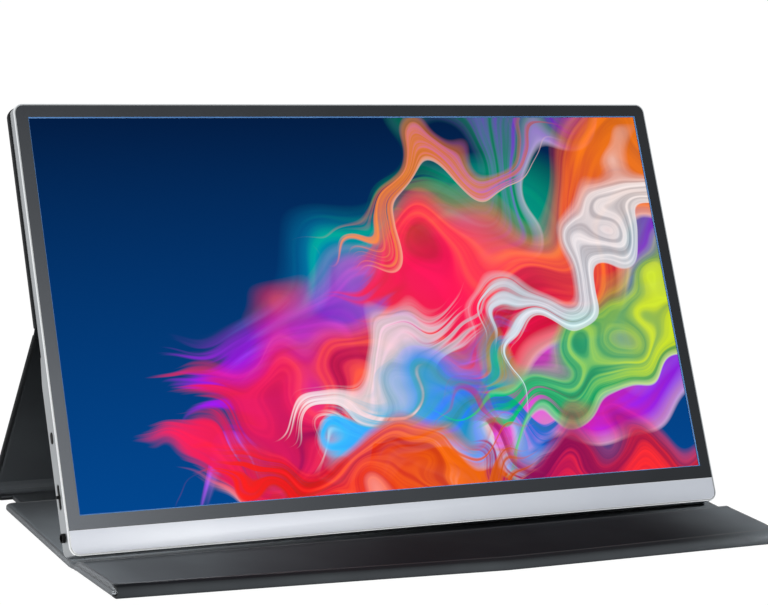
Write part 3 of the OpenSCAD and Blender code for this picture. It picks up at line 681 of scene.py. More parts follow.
FINISHES: dict[str, Finish | PictureFinish] = {
    # Polyurethane leather, pressed with a fine pebble grain: soft, broad highlights.
    "cover_leather": Finish(
        "polyurethane leather, embossed", Texture.EMBOSSED, "#3a3c3e", "#424446", 0.64,
        specular=0.12, grain=0.9, relief=0.05, cloud=40),
    # The same leather where it folds: stretched smooth, with fine creases along the fold.
    "crease_leather": Finish(
        "polyurethane leather, folded", Texture.WRINKLED, "#36383a", "#3e4042", 0.6,
        specular=0.15, grain=1.4, relief=0.06, cloud=30),
    # Microfibre lining with a short nap: nearly matte, a little lighter at grazing angles.
    "cover_lining": Finish(
        "microfibre lining, napped", Texture.NAPPED, "#3e4144", "#464a4d", 0.9, specular=0.02,
        grain=0.7, relief=0.04, cloud=60),
    "stiffener_board": Finish(
        "grey board, pressed", Texture.PRESSED, "#8a7f6b", "#776d5b", 0.9, grain=1.2, relief=0.05),
    "magnet": Finish(
        "nickel plate over neodymium", Texture.MOULDED, "#b9b8b4", "#a9a8a5", 0.25, metallic=1.0,
        grain=0.6, relief=0.004),
    # Aluminium, bead-blasted and anodised clear: an even, soft metal glow.
    "housing_aluminium": Finish(
        "anodised aluminium, bead-blasted", Texture.BLASTED, "#9fa3a6", "#a7abae", 0.42,
        metallic=1.0, grain=0.25, relief=0.006, cloud=50),
    # The chin bar's aluminium is set paler and bluer than the housing's: painted light, standing
    # for the brighter light that its front face catches.
    "chin_aluminium": Finish(
        "anodised aluminium, painted front light", Texture.BLASTED, "#c0c5cf", "#c6cbd4", 0.5,
        metallic=0.9, grain=0.22, relief=0.004, cloud=60),
    "cut_edge": Finish(
        "aluminium, diamond-cut", Texture.BLASTED, "#f2f4f6", "#e6e9ec", 0.16, metallic=1.0,
        grain=0.3, relief=0.001),
    "bezel_plastic": Finish(
        "black polycarbonate, satin", Texture.MOULDED, "#0c0d0e", "#101112", 0.42, specular=0.1,
        grain=0.4, relief=0.004, cloud=80),
    # The bezel's inner lip: its blue colour is a painted reflection of the picture's light on the
    # black plastic.
    "bezel_lip": Finish(
        "black polycarbonate lip, painted picture glow", Texture.MOULDED, "#2c4766", "#35506e", 0.45, specular=0.1,
        grain=0.5, relief=0.002),
    "black_tape": Finish("black foam tape", Texture.PRESSED, "#121314", "#191a1b", 0.85, grain=0.5),
    "white_film": Finish(
        "white polyester film", Texture.MOULDED, "#e8ebee", "#dfe3e8", 0.35, grain=0.8,
        relief=0.003),
    "clear_guide": Finish(
        "acrylic sheet, printed with dots", Texture.MOULDED, "#dcecf2", "#d0e2ea", 0.12,
        grain=0.8, relief=0.003),
    "diode_strip": Finish(
        "ceramic diode packages", Texture.MOULDED, "#efe3a2", "#e6d78c", 0.4, grain=0.5),
    "tray_steel": Finish(
        "galvanised steel sheet", Texture.BLASTED, "#8d9398", "#9ea3a8", 0.4, metallic=1.0,
        grain=1.5, relief=0.004),
    "circuit_board": Finish(
        "glass-fibre laminate, green lacquer", Texture.LAMINATED, "#1a5a38", "#237048", 0.35,
        grain=0.8, relief=0.01, cloud=12),
    "amber_film": Finish(
        "polyimide film", Texture.MOULDED, "#b9772c", "#c98a3c", 0.3, grain=0.8, relief=0.004),
    "chip_plastic": Finish(
        "moulded epoxy", Texture.MOULDED, "#222426", "#2b2d2f", 0.55, grain=0.3, relief=0.006),
    "tin_plate": Finish(
        "tin plate", Texture.BLASTED, "#c3c6ca", "#b4b8bd", 0.3, metallic=1.0, grain=0.8,
        relief=0.004),
    "socket_steel": Finish(
        "stainless steel, drawn", Texture.BLASTED, "#a4a8ad", "#b4b8bc", 0.28, metallic=1.0,
        grain=0.4, relief=0.004),
    # Sockets, button and lever: black nylon with a fine moulded texture.
    "black_plastic": Finish(
        "black nylon, fine texture", Texture.MOULDED, "#060708", "#090a0b", 0.55, specular=0.15,
        grain=0.3, relief=0.008),
    "switch_plastic": Finish("ivory nylon", Texture.MOULDED, "#cfd1cf", "#c3c5c3", 0.5, grain=0.4),
    "grey_foam": Finish(
        "polyurethane foam", Texture.PRESSED, "#4a4c4f", "#3e4043", 0.95, grain=0.6, relief=0.08),
    "screw_steel": Finish(
        "zinc-plated steel", Texture.BLASTED, "#a7abb0", "#b7bbc0", 0.3, metallic=1.0, grain=0.3,
        relief=0.004),
    "display_glass": PictureFinish(),
}


@cache
def finished(name: str) -> bpy.types.Material:
    """Gives a finish's material, made at its first use."""
    return FINISHES[name].build()


def dress(obj: Obj, *names: str) -> None:
    """Gives a new mesh the finishes of its material slots, in order."""
    obj.data.materials.clear()
    for name in names:
        obj.data.materials.append(finished(name))


def settle(obj: Obj, body: Body, slot: str, *nodes: str, sharp: float = 32.0) -> None:
    """Smooths a finished piece, fixes it to its body and hides the CAD nodes that it replaces.

    Args:
        obj: the finished piece.
        body: the body it rides on.
        slot: the record's material slot that it takes its finish from; not used.
        nodes: the CAD nodes that it replaces.
        sharp: the angle in degrees above which edges stay sharp.
    """
    smooth(obj, sharp)
    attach(obj, body.value)
    if nodes:
        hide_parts(*nodes)
    LOG.info("%s rides on %s, %d faces", obj.name, body.value, len(obj.data.polygons))


# ---- the bend of the flap ----


def between(points: Sequence[Point2], at: float) -> float:
    """Reads a value off a line drawn through points, level beyond its ends.

    Args:
        points: place and value of each point, in rising order of place.
        at: the place asked for.

    Returns:
        The value there.
    """
    if at <= points[0][0]:
        return points[0][1]
    for (xa, ya), (xb, yb) in zip(points, points[1:]):
        if at <= xb:
            return ya + (yb - ya) * (at - xa) / (xb - xa)
    return points[-1][1]


@dataclass(frozen=True)
class CoverSet:
    """The set that use has given the cover on the desk, in millimetres.

    Its front lies a little to the right, its left front corner stands off the desk, and the
    flap's layers gape a little at both front corners.
    """

    half_x: float = 181.0
    front_y: float = -103.6
    rear_y: float = 45.25
    top_z: float = 5.3
    columns: int = 10
    rows: int = 19
    bent_rows: int = 7  # rows from the front that pieces are cut at
    shift: tuple[Point2, ...] = ((-103.6, 2.6), (-54.0, 1.75), (45.25, 0.0))
    rise: tuple[Point2, ...] = ((-103.6, 5.3), (-54.0, 1.3), (-45.7, 0.0))
    left: tuple[Point2, ...] = ((-181.0, 1.0), (20.1, 0.0))
    right: tuple[Point2, ...] = ((60.3, 0.0), (181.0, 1.0))
    gape: tuple[Point2, ...] = ((-103.6, 0.9), (-91.0, 1.2), (-54.0, 0.0))
    left_share: float = 0.5  # the left corner's share of the gape, round its middle layer

    def moved(self, place: Vector) -> Vector:
        """Gives how far a point of the flat cover has moved."""
        left, right = between(self.left, place.x), between(self.right, place.x)
        layer = place.z / self.top_z
        lift = between(self.rise, place.y) * left
        gape = right * layer + left * left * (layer - 0.5) * self.left_share
        lift += between(self.gape, place.y) * gape
        return Vector((between(self.shift, place.y), 0.0, lift))

    def lattice(self) -> Obj:
        """Makes the lattice that sets the cover's pieces, to be removed when all are set."""
        deselect_all()
        low = Vector((-self.half_x, self.front_y, 0.0))
        high = Vector((self.half_x, self.rear_y, self.top_z))
        size = high - low
        bpy.ops.object.add(type="LATTICE", location=(low + high) / 2 * MM)
        cage = bpy.context.object
        cage.name = "cover_set"
        cage.scale = size * MM
        data = cage.data
        data.points_u, data.points_v, data.points_w = self.columns, self.rows, 2
        for axis in "uvw":
            setattr(data, f"interpolation_type_{axis}", "KEY_LINEAR")
        for point in data.points:
            place = Vector(low[i] + (point.co[i] + 0.5) * size[i] for i in range(3))
            moved = self.moved(place)
            point.co_deform.x = point.co.x + moved.x / size.x
            point.co_deform.z = point.co.z + moved.z / size.z
        bpy.context.view_layer.update()
        return cage

    def apply(self, obj: Obj, cage: Obj) -> None:
        """Cuts a piece finely enough, and moves it with the lattice."""
        step = self.half_x / (self.columns - 1)
        cut_across(obj, 0, [-self.half_x + step * i for i in range(1, 2 * self.columns - 2)])
        row = (self.rear_y - self.front_y) / (self.rows - 1)
        cut_across(obj, 1, [self.front_y + row * i for i in range(1, self.bent_rows + 1)])
        apply_modifier(obj, "LATTICE", object=cage)


COVER_SET = CoverSet()


# ---- cover ----


@dataclass
class Panel:
    """A stiff panel of the cover: leather turned in round a board, and a lining on the inside.

    It is built with its outer face at z = 0, its inner face at z = thickness, and y from 0
    to its length, and then goes to its place.
    """

    name: str
    body: Body
    width: float
    length: float
    near_radius: float
    far_radius: float
    place: Matrix
    bent: bool = False
    thickness: float = LAYOUT.panel_t
    roll: float = 0.85  # rounding of the leather's edges
    seam: float = 0.01  # gap between the turned-in hem and the lining
    lining_r: float = 0.05  # rounding of the lining's edges

    def _shape(self, name: str, inset: float, low: float, high: float) -> Obj:
        """Adds a plate with the panel's outline.

        Args:
            name: name of the piece.
            inset: how far it lies inside the panel's outline.
            low: its lower face.
            high: its upper face.

        Returns:
            The plate.
        """
        half = self.width / 2 - inset
        obj = slab(name, Vector((-half, inset, low)), Vector((half, self.length - inset, high)))
        round_corners(obj, -1, inset, max(self.near_radius - inset, 0.5))
        round_corners(obj, 1, self.length - inset, max(self.far_radius - inset, 0.5))
        return obj

    def _finish(self, obj: Obj, slot: str, node: str, cage: Obj) -> None:
        """Places, bends, dresses and fixes one of the panel's pieces.

        Args:
            obj: the piece in the panel's own frame.
            slot: its material slot.
            node: the CAD node that it replaces.
            cage: the lattice for a panel that is bent.
        """
        place_mesh(obj, self.place)
        outward(obj)
        if self.bent:
            COVER_SET.apply(obj, cage)
        dress(obj, slot)
        settle(obj, self.body, slot, node)

    def leather(self, cage: Obj) -> None:
        """Makes the outer leather with its rolled edge and turned-in hem."""
        t = self.thickness
        top = t - NEAR
        obj = self._shape(f"{self.name}_leather", 0.0, 0.0, t)
        bevel_edges(
            obj, lambda a, b: abs(a.z - b.z) < NEAR and (a.z < NEAR or a.z > top), self.roll, 6
        )
        open_edit(obj, Domain.FACE, lambda middle, normal: middle.z > top and normal.z > 0.99)
        bpy.ops.mesh.inset(thickness=(LAYOUT.hem - self.roll) * MM, depth=0.0)
        extrude(0.0, LAYOUT.skin_t - t)
        close_edit()
        self._finish(obj, "cover_leather", f"{self.name}_skin", cage)

    def lining(self, cage: Obj) -> None:
        """Makes the lining that covers the board inside the hem."""
        t = self.thickness
        top = t - NEAR
        name, inset = f"{self.name}_inner_cloth", LAYOUT.hem + self.seam
        obj = self._shape(name, inset, t - LAYOUT.lining_t, t)
        bevel_edges(obj, lambda a, b: a.z > top and b.z > top, self.lining_r, 2)
        self._finish(obj, "cover_lining", f"{self.name}_lining", cage)


@dataclass
class Crease:
    """A soft strip of leather and lining between two panels, drawn along a path in (y, z).

    A strip with one body rides on it. One with two stays in its place on no body, and a bent one
    moves with the lattice.
    """

    name: str
    path: list[Point2]
    width: float
    thickness: float
    bodies: tuple[Body, ...]
    start: Point2 = (0.0, 0.0)
    end: Point2 = (0.0, 0.0)
    nodes: tuple[str, ...] = ()
    sides: tuple[str, str] = ("cover_lining", "crease_leather")
    bent: bool = False
    edge_r: float = 0.16  # rounding of its edges

    def build(self, cage: Obj) -> None:
        """Draws the strip step by step along its path, and gives it its thickness."""
        deselect_all()
        (y0, z0), (y1, z1) = self.path[:2]
        bpy.ops.mesh.primitive_grid_add(
            x_subdivisions=2 * COVER_SET.columns - 2 if self.bent else 1, y_subdivisions=1, size=1,
            location=in_frame(((y0 + y1) / 2, (z0 + z1) / 2)),
            rotation=(math.atan2(z1 - z0, y1 - y0), 0, 0),
        )
        reach = math.hypot(y1 - y0, z1 - z0)
        bpy.context.object.scale = (self.width * MM, reach * MM, 1)
        obj = take_new(self.name)
        last = Vector((0, y1, z1))

        def at_last(a: Vector, b: Vector) -> bool:
            return all((Vector((0, p.y, p.z)) - last).length < 10 * NEAR for p in (a, b))

        open_edit(obj, Domain.EDGE, at_last)
        for (ya, za), (yb, zb) in zip(self.path[1:], self.path[2:]):
            extrude(yb - ya, zb - za)
        close_edit()
        dress(obj, *self.sides)
        apply_modifier(obj, "SOLIDIFY", thickness=self.thickness * MM, offset=0.0,
                       use_even_offset=True, material_offset=1, material_offset_rim=1)
        apply_modifier(obj, "BEVEL", width=self.edge_r * MM, segments=2, limit_method="ANGLE",
                       angle_limit=math.radians(60))
        if len(self.bodies) == 1:
            settle(obj, self.bodies[0], "crease_leather", *self.nodes, sharp=40)
            return
        smooth(obj, 40)
        if self.nodes:
            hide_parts(*self.nodes)
        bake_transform(obj)
        # A bent one moves with the lattice, as the panels do.
        if self.bent:
            apply_modifier(obj, "LATTICE", object=cage)


def on_arc(centre: Point2, radius: float, degrees: float) -> Point2:
    """Gives the point of a circle in (y, z) at an angle from +Y."""
    angle = math.radians(degrees)
    return centre[0] + radius * math.cos(angle), centre[1] + radius * math.sin(angle)


def arc(centre: Point2, radius: float, first: float, last: float, steps: int) -> list[Point2]:
    """Gives points on an arc.

    Args:
        centre: its centre in (y, z).
        radius: its radius.
        first: angle of the first point from +Y, in degrees.
        last: angle of the last point.
        steps: number of steps between them.

    Returns:
        The points in order.
    """
    return [on_arc(centre, radius, first + (last - first) * i / steps) for i in range(steps + 1)]


class Cover:
    """The folding cover: six panels and the creases between them."""

    def __init__(self, nodes: dict[str, Obj]) -> None:
        """Keeps the CAD nodes and makes the lattice that sets the base and the flaps."""
        self.nodes = nodes
        self.cage = COVER_SET.lattice()

    @staticmethod
    def panels() -> list[Panel]:
        """Gives the panels with their places."""
        k = LAYOUT

        def shift(y: float, z: float) -> Matrix:
            return Matrix.Translation(Vector((0, y, z)) * MM)

        def turn(angle: float) -> Matrix:
            return Matrix.Rotation(math.pi / 2 + angle, 4, "X")

        base, spine = shift(-k.base_d / 2, 0), shift(k.spine_front, 0)
        flap = shift(k.flap_front_y, k.panel_t + k.layer_gap)
        tuck = shift(k.flap_front_y, k.panel_t) @ Matrix.Scale(-1, 4, (0, 0, 1))
        lower = shift(k.rear_y, k.rear_z) @ turn(k.lower_lean)
        lower = lower @ shift(k.lower_start, -k.panel_t / 2)
        upper = shift(k.monitor_y, k.monitor_z) @ turn(-k.lean)
        upper = upper @ shift(k.upper_s, -(k.body_t + k.release_gap + k.upper_t))
        w = k.cover_w
        tuck_l = k.crease_y - k.flap_front_y
        upper_l = k.body_h + k.upper_over - k.upper_s
        return [
            Panel("base", Body.BASE, w, k.base_d, 0.9, 5.0, base, True),
            Panel("spine", Body.BASE, w, k.spine_d - k.spine_trim, 4.0, 2.4, spine),
            Panel("front_flap", Body.FRONT_FLAP, w, tuck_l - k.fold_gap, 1.0, 0.9, flap, True),
            Panel("tuck_flap", Body.TUCK_FLAP, w, tuck_l + k.tuck_reach, 1.0, 1.5, tuck, True),
            Panel("lower_back", Body.LOWER_BACK, w, k.lower_length, 4.0, 0.9, lower),
            Panel("upper_back", Body.UPPER_BACK, w, upper_l, 0.9, 5.0, upper, thickness=k.upper_t),
        ]

    @staticmethod
    def creases() -> list[Crease]:
        """Gives the creases with their paths and the bodies that they join."""
        k = LAYOUT
        outside_first = ("crease_leather", "cover_lining")
        low, top = k.nose_z - k.nose_r, k.nose_z + k.nose_r
        hem_y = k.flap_front_y + 1.2
        nose_path = [
            (hem_y, low), (k.flap_front_y, low), *arc((k.nose_y, k.nose_z), k.nose_r, 270, 90, 14),
            (k.flap_front_y, top), (hem_y, top),
        ]
        # At the rear the leather turns round the crease's core in two strips.
        rear, rear_r, lean = (k.rear_y, k.rear_z), k.rear_r, k.lower_lean
        back = math.degrees(lean)
        middle = back - 12  # where the two strips meet
        to_lower = [k.on_lower(k.lower_start + along, rear_r) for along in (1.0, -0.4)]
        turn = on_arc(rear, rear_r, middle)
        spine_end = [(k.rear_y - 1.3, 0.28), (k.rear_y - 2.8, 0.28)]
        # The lining runs in one hollow curve from the spine up the lower back.
        hollow_r = 3.0
        face = k.panel_t - 0.21  # a little below the panels' own linings
        rise = face - k.rear_z
        corner = k.rear_y - rise * math.tan(lean) - rise / math.cos(lean)
        reach = hollow_r / math.tan(math.radians(45 - back / 2))
        hollow_y = corner - reach
        hollow = (hollow_y, face + hollow_r)
        half = (back - 90) / 2
        inner_turn = on_arc(hollow, hollow_r, half)
        below = [(hollow_y - 3.2, face - 0.5), (hollow_y - 1.4, face - 0.1)]
        above = [k.on_lower(reach + a, d) for a, d in ((3.6, -1.06), (5.0, -0.8), (6.4, -0.4))]
        rear_w = k.cover_w - 5.0
        from_base, to_back = (Body.BASE, Body.REAR_CREASE), (Body.REAR_CREASE, Body.LOWER_BACK)
        # At the top it lies between the lower back and the panel behind the monitor.
        upper_mid = k.body_t + k.release_gap + k.upper_t / 2
        upper_path = [
            *(k.on_lower(k.back_length - along, 0.0) for along in (2.9, 1.2)),
            on_arc(k.apex, 0.35, 90 - k.tilt),
            *(k.on_monitor(k.upper_s + along, upper_mid) for along in (0.2, 1.5)),
        ]
        return [
            Crease(
                "spine_crease",
                [(43.9, 1.4), (45.2, 1.42), (46.8, 1.38), (48.35, 1.34), (49.9, 1.38), (51.5, 1.42),
                 (53.6, 1.4), (55.6, 1.4), (57.5, 1.4)],
                k.crease_w, 2.3, (Body.BASE,), nodes=("spine_fold",)),
            Crease(
                "front_crease",
                [(-57.4, 4.1), (-56.2, 4.16), (-55.2, 4.05), (-54.4, 3.6), (-53.5, 3.0),
                 (-52.4, 2.2), (-51.2, 1.65), (-49.5, 1.45), (-47.0, 1.42), (-45.4, 1.42),
                 (-43.9, 1.42)],
                k.cover_w - 0.5, 2.25, (Body.BASE, Body.FRONT_FLAP), (-50.2, 3.0), (-56.0, 4.3),
                ("front_fold",), bent=True),
            Crease(
                "nose_crease", nose_path, k.cover_w - 0.4, 1.1, (Body.TUCK_FLAP, Body.FRONT_FLAP),
                (k.nose_y, low + 0.3), (k.nose_y, top - 0.3), ("nose_fold",), bent=True),
            Crease(
                "rear_crease_upper", to_lower + arc(rear, rear_r, back, middle, 3), rear_w, 0.55,
                to_back, turn, on_arc(rear, rear_r, back), sides=outside_first),
            Crease(
                "rear_crease_lower", arc(rear, rear_r, middle, -90, 8) + spine_end, rear_w, 0.55,
                from_base, (k.rear_y, k.rear_z - rear_r), turn, sides=outside_first),
            Crease(
                "rear_hollow_lower", below + arc(hollow, hollow_r, -90, half, 6), rear_w, 0.5,
                from_base, (hollow_y, face), inner_turn),
            Crease(
                "rear_hollow_upper", arc(hollow, hollow_r, half, back, 6) + above, rear_w, 0.5,
                to_back, inner_turn, on_arc(hollow, hollow_r, back)),
            Crease(
                "upper_crease", upper_path, k.cover_w - 0.6, 1.3,
                (Body.LOWER_BACK, Body.UPPER_BACK), k.on_lower(k.back_length - 1.9, 0.0),
                k.on_monitor(k.upper_s - 0.2, upper_mid), ("upper_fold",)),
        ]

    @staticmethod
    def bead() -> None:
        """Makes the round core of the rear crease, which the leather turns about."""
        k = LAYOUT
        radius, length, edge_r = 0.74, k.crease_w - 1.0, 0.3
        deselect_all()
        bpy.ops.mesh.primitive_cylinder_add(
            vertices=32, radius=radius * MM, depth=length * MM,
            location=in_frame((k.rear_y, k.rear_z)), rotation=(0, math.pi / 2, 0),
        )
        obj = take_new("rear_crease_core")
        limit = length / 2 - 0.1
        bevel_edges(obj, lambda a, b: abs(a.x) > limit and abs(b.x) > limit, edge_r, 3)
        dress(obj, "crease_leather")
        settle(obj, Body.REAR_CREASE, "crease_leather", "rear_fold")

    def boards(self) -> None:
        """Moves copies of the boards and magnets inside as their leather has moved."""
        for node, body, slot in (
            ("base_stiffener", Body.BASE, "stiffener_board"),
            ("front_flap_stiffener", Body.FRONT_FLAP, "stiffener_board"),
            ("tuck_flap_stiffener", Body.TUCK_FLAP, "stiffener_board"),
            ("tuck_flap_magnets", Body.TUCK_FLAP, "magnet"),
            ("spine_stiffener", Body.BASE, "stiffener_board"),
        ):
            obj = copy_node(self.nodes[node], f"{node}_set")
            if node == "spine_stiffener":
                front = (LAYOUT.spine_front + LAYOUT.board_inset) * MM
                for vertex in obj.data.vertices:
                    vertex.co.y = max(vertex.co.y, front)
            else:
                COVER_SET.apply(obj, self.cage)
            dress(obj, slot)
            settle(obj, body, slot, node)

    def build(self) -> None:
        """Makes the whole cover."""
        for panel in self.panels():
            panel.leather(self.cage)
            panel.lining(self.cage)
        for crease in self.creases():
            crease.build(self.cage)
        self.bead()
        self.boards()
        bpy.data.objects.remove(self.cage, do_unlink=True)


# ---- monitor ----

DOUBLES = 0.00002  # points nearer than this, in metres, are merged in a copied node
FLAT = 0.4  # triangles that meet flatter than this, in degrees, are joined


def copy_node(node: Obj, name: str) -> Obj:
    """Copies a CAD node's mesh, merges its doubles and joins its flat triangles.

    Args:
        node: the CAD node.
        name: name of the new piece.

    Returns:
        The copy, at the origin.
    """
    mesh = node.data.copy()
    mesh.name = name
    obj = bpy.data.objects.new(name, mesh)
    bpy.context.scene.collection.objects.link(obj)
    open_edit(obj)
    bpy.ops.mesh.remove_doubles(threshold=DOUBLES)
    bpy.ops.mesh.dissolve_limited(angle_limit=math.radians(FLAT))
    close_edit()
    if mesh.has_custom_normals:
        bpy.ops.mesh.customdata_custom_splitnormals_clear()
    return obj


class Monitor:
    """The monitor's outside: housing, chin bar, bezel, display, button, lever and sockets."""

    AT_DEPTH = 0.02  # how near a front face's points lie to its depth
    SLACK = 0.1  # how far outside the picture the bezel's opening may lie
    SHORTEST = 1.0  # its shortest straight side

    def __init__(self, nodes: dict[str, Obj]) -> None:
        """Keeps the CAD nodes and the way from the row frame to the screen's own."""
        self.nodes = nodes
        k = LAYOUT
        self.to_screen = (
            Matrix.Translation(Vector((0, k.monitor_y, k.monitor_z)))
            @ Matrix.Rotation(math.pi / 2 - k.lean, 4, "X")
        ).inverted()

    def trimmed(
        self, node: str, name: str, slot: str, trim: str, test: PairTest, cut: tuple[float, int],
    ) -> None:
        """Makes a part of the front with its edges cut.

        Args:
            node: the CAD node that it comes from.
            name: name of the piece.
            slot: its finish and material slot.
            trim: the finish of the cut edges.
            test: gets an edge's two ends as (across, up the screen, towards the viewer), and
                tells whether it is cut.
            cut: the cut's width in millimetres and its steps.
        """
        obj = copy_node(self.nodes[node], name)
        dress(obj, slot, trim)
        place = self.to_screen
        bevel_edges(obj, lambda a, b: test(place @ a, place @ b), *cut, material=1)
        settle(obj, Body.MONITOR, slot, node, sharp=30)

    def control(self, node: str, name: str, body: Body, width: float) -> None:
        """Makes a small black part with softened edges.

        Args:
            node: the CAD node that it comes from.
            name: name of the piece.
            body: the body it rides on.
            width: width of the rounding in millimetres.
        """
        obj = copy_node(self.nodes[node], name)
        apply_modifier(obj, "BEVEL", width=width * MM, segments=3, limit_method="ANGLE",
                       angle_limit=math.radians(50), use_clamp_overlap=True)
        dress(obj, "black_plastic")
        settle(obj, body, "black_plastic", node, sharp=30)

    def front_at(self, depth: float, *points: Vector) -> bool:
        """Tells whether points lie at a depth behind the front face."""
        return all(abs(p.z + depth) < self.AT_DEPTH for p in points)

    def housing_rim(self, a: Vector, b: Vector) -> bool:
        """Tells whether an edge of the front face is the housing's outer edge."""
        k = LAYOUT
        margin = k.rim / 2

        def outer(p: Vector) -> bool:
            side = abs(p.x) - (k.body_w / 2 - k.corner_r)
            end = max(k.corner_r - p.y, p.y - (k.body_h - k.corner_r))
            if side > 0 and end > 0:
                return math.hypot(side, end) > k.corner_r - margin
            return max(side, end) > k.corner_r - margin

        return self.front_at(0.0, a, b) and outer(a) and outer(b)

    def inner_lip(self, a: Vector, b: Vector) -> bool:
        """Tells whether an edge of the bezel's front is a long side of its opening."""
        k = LAYOUT
        half_w = k.picture_w / 2 + self.SLACK
        low, high = k.picture_s - self.SLACK, k.picture_s + k.picture_h + self.SLACK
        inside = all(abs(p.x) < half_w and low < p.y < high for p in (a, b))
        straight = min(abs(a.x - b.x), abs(a.y - b.y)) < 10 * NEAR
        return self.front_at(0.1, a, b) and inside and straight and (a - b).length > self.SHORTEST

    def build(self) -> None:
        """Makes every outer piece of the monitor."""
        self.trimmed("rear_housing", "housing_shell", "housing_aluminium", "cut_edge",
                     self.housing_rim, (0.42, 2))
        # The chin bar's paler tone is painted light on its front face.
        self.trimmed("chin_bar", "chin_trim", "chin_aluminium", "cut_edge",
                     lambda a, b: self.front_at(0.05, a, b), (0.22, 2))
        # The bezel's lip faces take a painted reflection of the picture's light.
        self.trimmed("front_bezel", "screen_frame", "bezel_plastic", "bezel_lip",
                     self.inner_lip, (0.45, 1))
        self.control("power_button", "power_key_cap", Body.POWER_KEY, 0.18)
        self.control("jog_lever", "jog_lever_cap", Body.JOG_KNOB, 0.15)
        self.control("audio_jack", "audio_socket_barrel", Body.MONITOR, 0.2)


def dress_nodes(frame: dict) -> None:
    """Gives every CAD node that stays the finish of its material slot."""
    slots = {part["node"]: part["material_slot"] for part in frame["record"]["subparts"]}
    for name, node in frame["nodes"].items():
        if not node.hide_render:
            for slot in node.material_slots:
                slot.material = finished(slots[name])


# ---- studio ----


@dataclass(frozen=True)
class View:
    """The photograph's camera, fitted to the picture's corners and the cover's edges."""

    place: tuple[float, float, float] = (-559.45, -1048.87, 382.53)
    azimuth: float = 28.011
    elevation: float = 12.997
    roll: float = 4.486
    lens: float = 114.448
    sensor: float = 36.0

    def build(self) -> None:
        """Makes the camera."""
        az, el, roll = (math.radians(v) for v in (self.azimuth, self.elevation, self.roll))
        forward = Vector((math.sin(az) * math.cos(el), math.cos(az) * math.cos(el), -math.sin(el)))
        right = Vector((math.cos(az), -math.sin(az), 0.0))
        up = right.cross(forward)
        cos, sin = math.cos(roll), math.sin(roll)
        axes = (cos * right + sin * up, -sin * right + cos * up, -forward)
        matrix = Matrix(axes).transposed().to_4x4()
        matrix.translation = Vector(self.place) * MM
        data = bpy.data.cameras.new("camera")
        data.sensor_width, data.lens = self.sensor, self.lens
        data.clip_start, data.clip_end = 0.05, 30.0
        camera = bpy.data.objects.new("camera", data)
        bpy.context.scene.collection.objects.link(camera)
        camera.matrix_world = matrix
        bpy.context.scene.camera = camera


@dataclass(frozen=True)
class Lamp:
    """A soft rectangular lamp, in metres and watts."""

    name: str
    place: tuple[float, float, float]
    aim: tuple[float, float, float]
    size: tuple[float, float]
    power: float
    colour: str = "#ffffff"
    spread: float = 180.0
    only: tuple[str, ...] = ()

    def build(self) -> None:
        """Makes the lamp, turns it to what it lights, and flags off the rest where it has to."""
        data = bpy.data.lights.new(self.name, "AREA")
        data.shape, data.size, data.size_y = "RECTANGLE", *self.size
        data.energy, data.color = self.power, linear(self.colour)[:3]
        data.spread = math.radians(self.spread)
        lamp = bpy.data.objects.new(self.name, data)
        bpy.context.scene.collection.objects.link(lamp)
        lamp.location = self.place
        aim = Vector(self.aim) - Vector(self.place)
        lamp.rotation_mode = "QUATERNION"
        lamp.rotation_quaternion = aim.to_track_quat("-Z", "Y")
        if self.only:
            lit = bpy.data.collections.new(f"{self.name}_lights")
            for name in self.only:
                lit.objects.link(bpy.data.objects[name])
            lamp.light_linking.receiver_collection = lit


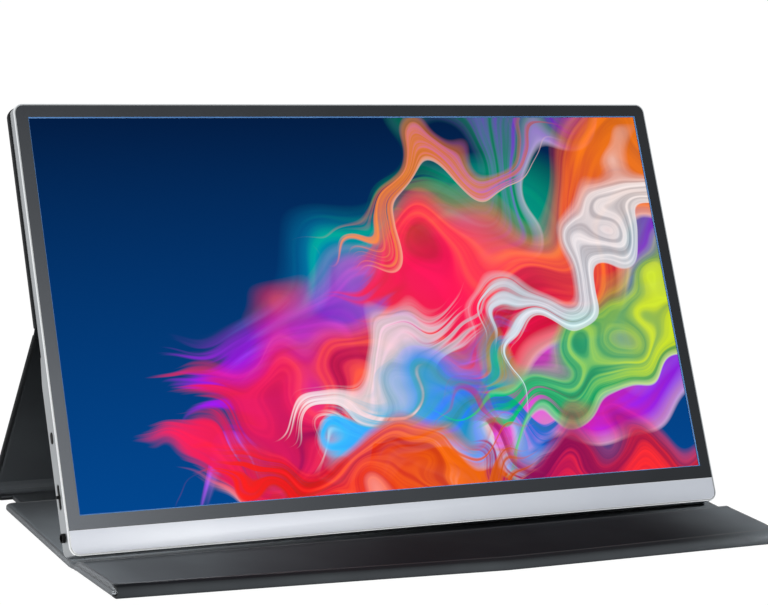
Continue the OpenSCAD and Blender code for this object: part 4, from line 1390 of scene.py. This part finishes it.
class Studio:
    """A white table in soft light."""

    TABLE_SIZE, TABLE_Z = 12, -0.0006  # metres
    TABLE_GLOW = 1.08  # brightness of the table where it shows white
    TABLE_WHITE = 0.93  # share of that white where it is seen, and not the lit table
    AMBIENT = 0.13  # strength of the light from all round

    MONITOR_LIT = (
        "housing_shell", "chin_trim", "screen_frame", "power_key_cap", "jog_lever_cap",
        "audio_socket_barrel",
    )
    LINING_LIT = (
        "base_leather", "base_inner_cloth", "front_crease", "front_flap_leather",
        "front_flap_inner_cloth",
    )
    LAMPS = (
        Lamp("softbox_front", (0.03, -0.76, 0.58), (-0.14, -0.03, 0.04), (0.36, 0.34), 1.66,
             colour="#fff8ee", only=MONITOR_LIT),
        Lamp("strip_on_frame", (-0.05, -0.70, 0.48), (-0.176, -0.043, 0.02), (0.26, 0.26), 26.0,
             colour="#ecf4ff", only=("screen_frame",)),
        Lamp("spot_left", (-0.45, -0.50, 0.20), (-0.118, 0.045, 0.0), (0.08, 0.08), 0.42,
             spread=24.0, only=LINING_LIT + ("tuck_flap_leather",)),
        Lamp("spot_right", (0.42, -0.46, 0.46), (0.245, -0.09, 0.0), (0.06, 0.06), 0.27,
             spread=18.0, only=LINING_LIT + ("nose_crease",)),
        Lamp("spot_behind", (-0.62, -0.30, 0.10), (-0.186, 0.058, 0.004), (0.08, 0.08), 0.03,
             spread=14.0, only=("lower_back_inner_cloth", "spine_inner_cloth", "spine_crease",
                                "rear_hollow_upper", "rear_hollow_lower")),
        Lamp("strip_low", (0.1, -0.95, 0.05), (0.0, -0.1, 0.0), (0.9, 0.08), 8.0,
             only=("nose_crease", "tuck_flap_leather", "front_flap_leather")),
        Lamp("softbox_left", (-1.4, -0.1, 0.8), (0.0, 0.0, 0.1), (0.9, 0.9), 2.0),
        Lamp("softbox_back", (0.3, 1.3, 1.1), (0.0, 0.0, 0.1), (1.2, 0.6), 6.0),
    )

    @staticmethod
    def seen(tree: Tree) -> Node:
        """Gives 1 for rays from the camera, from gloss and through glass, else 0."""
        rays = add_node(tree, "LightPath").outputs
        either = rays["Is Camera Ray"]
        for name in ("Is Glossy Ray", "Is Transmission Ray"):
            either = add_node(tree, "Math", {0: either, 1: rays[name]}, operation="MAXIMUM")
        return either

    def floor(self) -> None:
        """Makes the pale table top, which shows white and keeps the object's shadow."""
        deselect_all()
        bpy.ops.mesh.primitive_plane_add(size=self.TABLE_SIZE, location=(0, 0, self.TABLE_Z))
        table = bpy.context.object
        table.name = "table_top"
        material, tree = new_tree("white laminate")
        diffuse = add_node(tree, "BsdfDiffuse", {"Color": grey(0.82)})
        white = add_node(tree, "Emission", {"Color": grey(1), "Strength": self.TABLE_GLOW})
        share = {0: self.seen(tree), 1: self.TABLE_WHITE}
        share = add_node(tree, "Math", share, operation="MULTIPLY")
        mixed = add_node(tree, "MixShader", {0: share, 1: diffuse, 2: white})
        add_node(tree, "OutputMaterial", {"Surface": mixed})
        table.data.materials.append(material)

    def world(self) -> None:
        """Makes the surroundings: plain soft light, and white where they are seen."""
        world = bpy.data.worlds.new("studio")
        bpy.context.scene.world = world
        world.use_nodes = True
        tree = world.node_tree
        tree.nodes.clear()
        light = add_node(tree, "Background", {"Color": linear("#f4f6f8"), "Strength": self.AMBIENT})
        white = add_node(tree, "Background", {"Color": grey(1), "Strength": 1.0})
        mixed = add_node(tree, "MixShader", {0: self.seen(tree), 1: light, 2: white})
        add_node(tree, "OutputWorld", {"Surface": mixed})

    def build(self) -> None:
        """Makes table, surroundings and lamps."""
        bpy.context.scene.view_settings.view_transform = "Standard"
        self.floor()
        self.world()
        for lamp in self.LAMPS:
            lamp.build()


def main() -> None:
    """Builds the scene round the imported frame."""
    logging.basicConfig(level=logging.INFO, format="%(message)s")
    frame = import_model()
    View().build()
    Cover(frame["nodes"]).build()
    Monitor(frame["nodes"]).build()
    dress_nodes(frame)
    Studio().build()
    deselect_all()


if __name__ == "__main__":
    main()
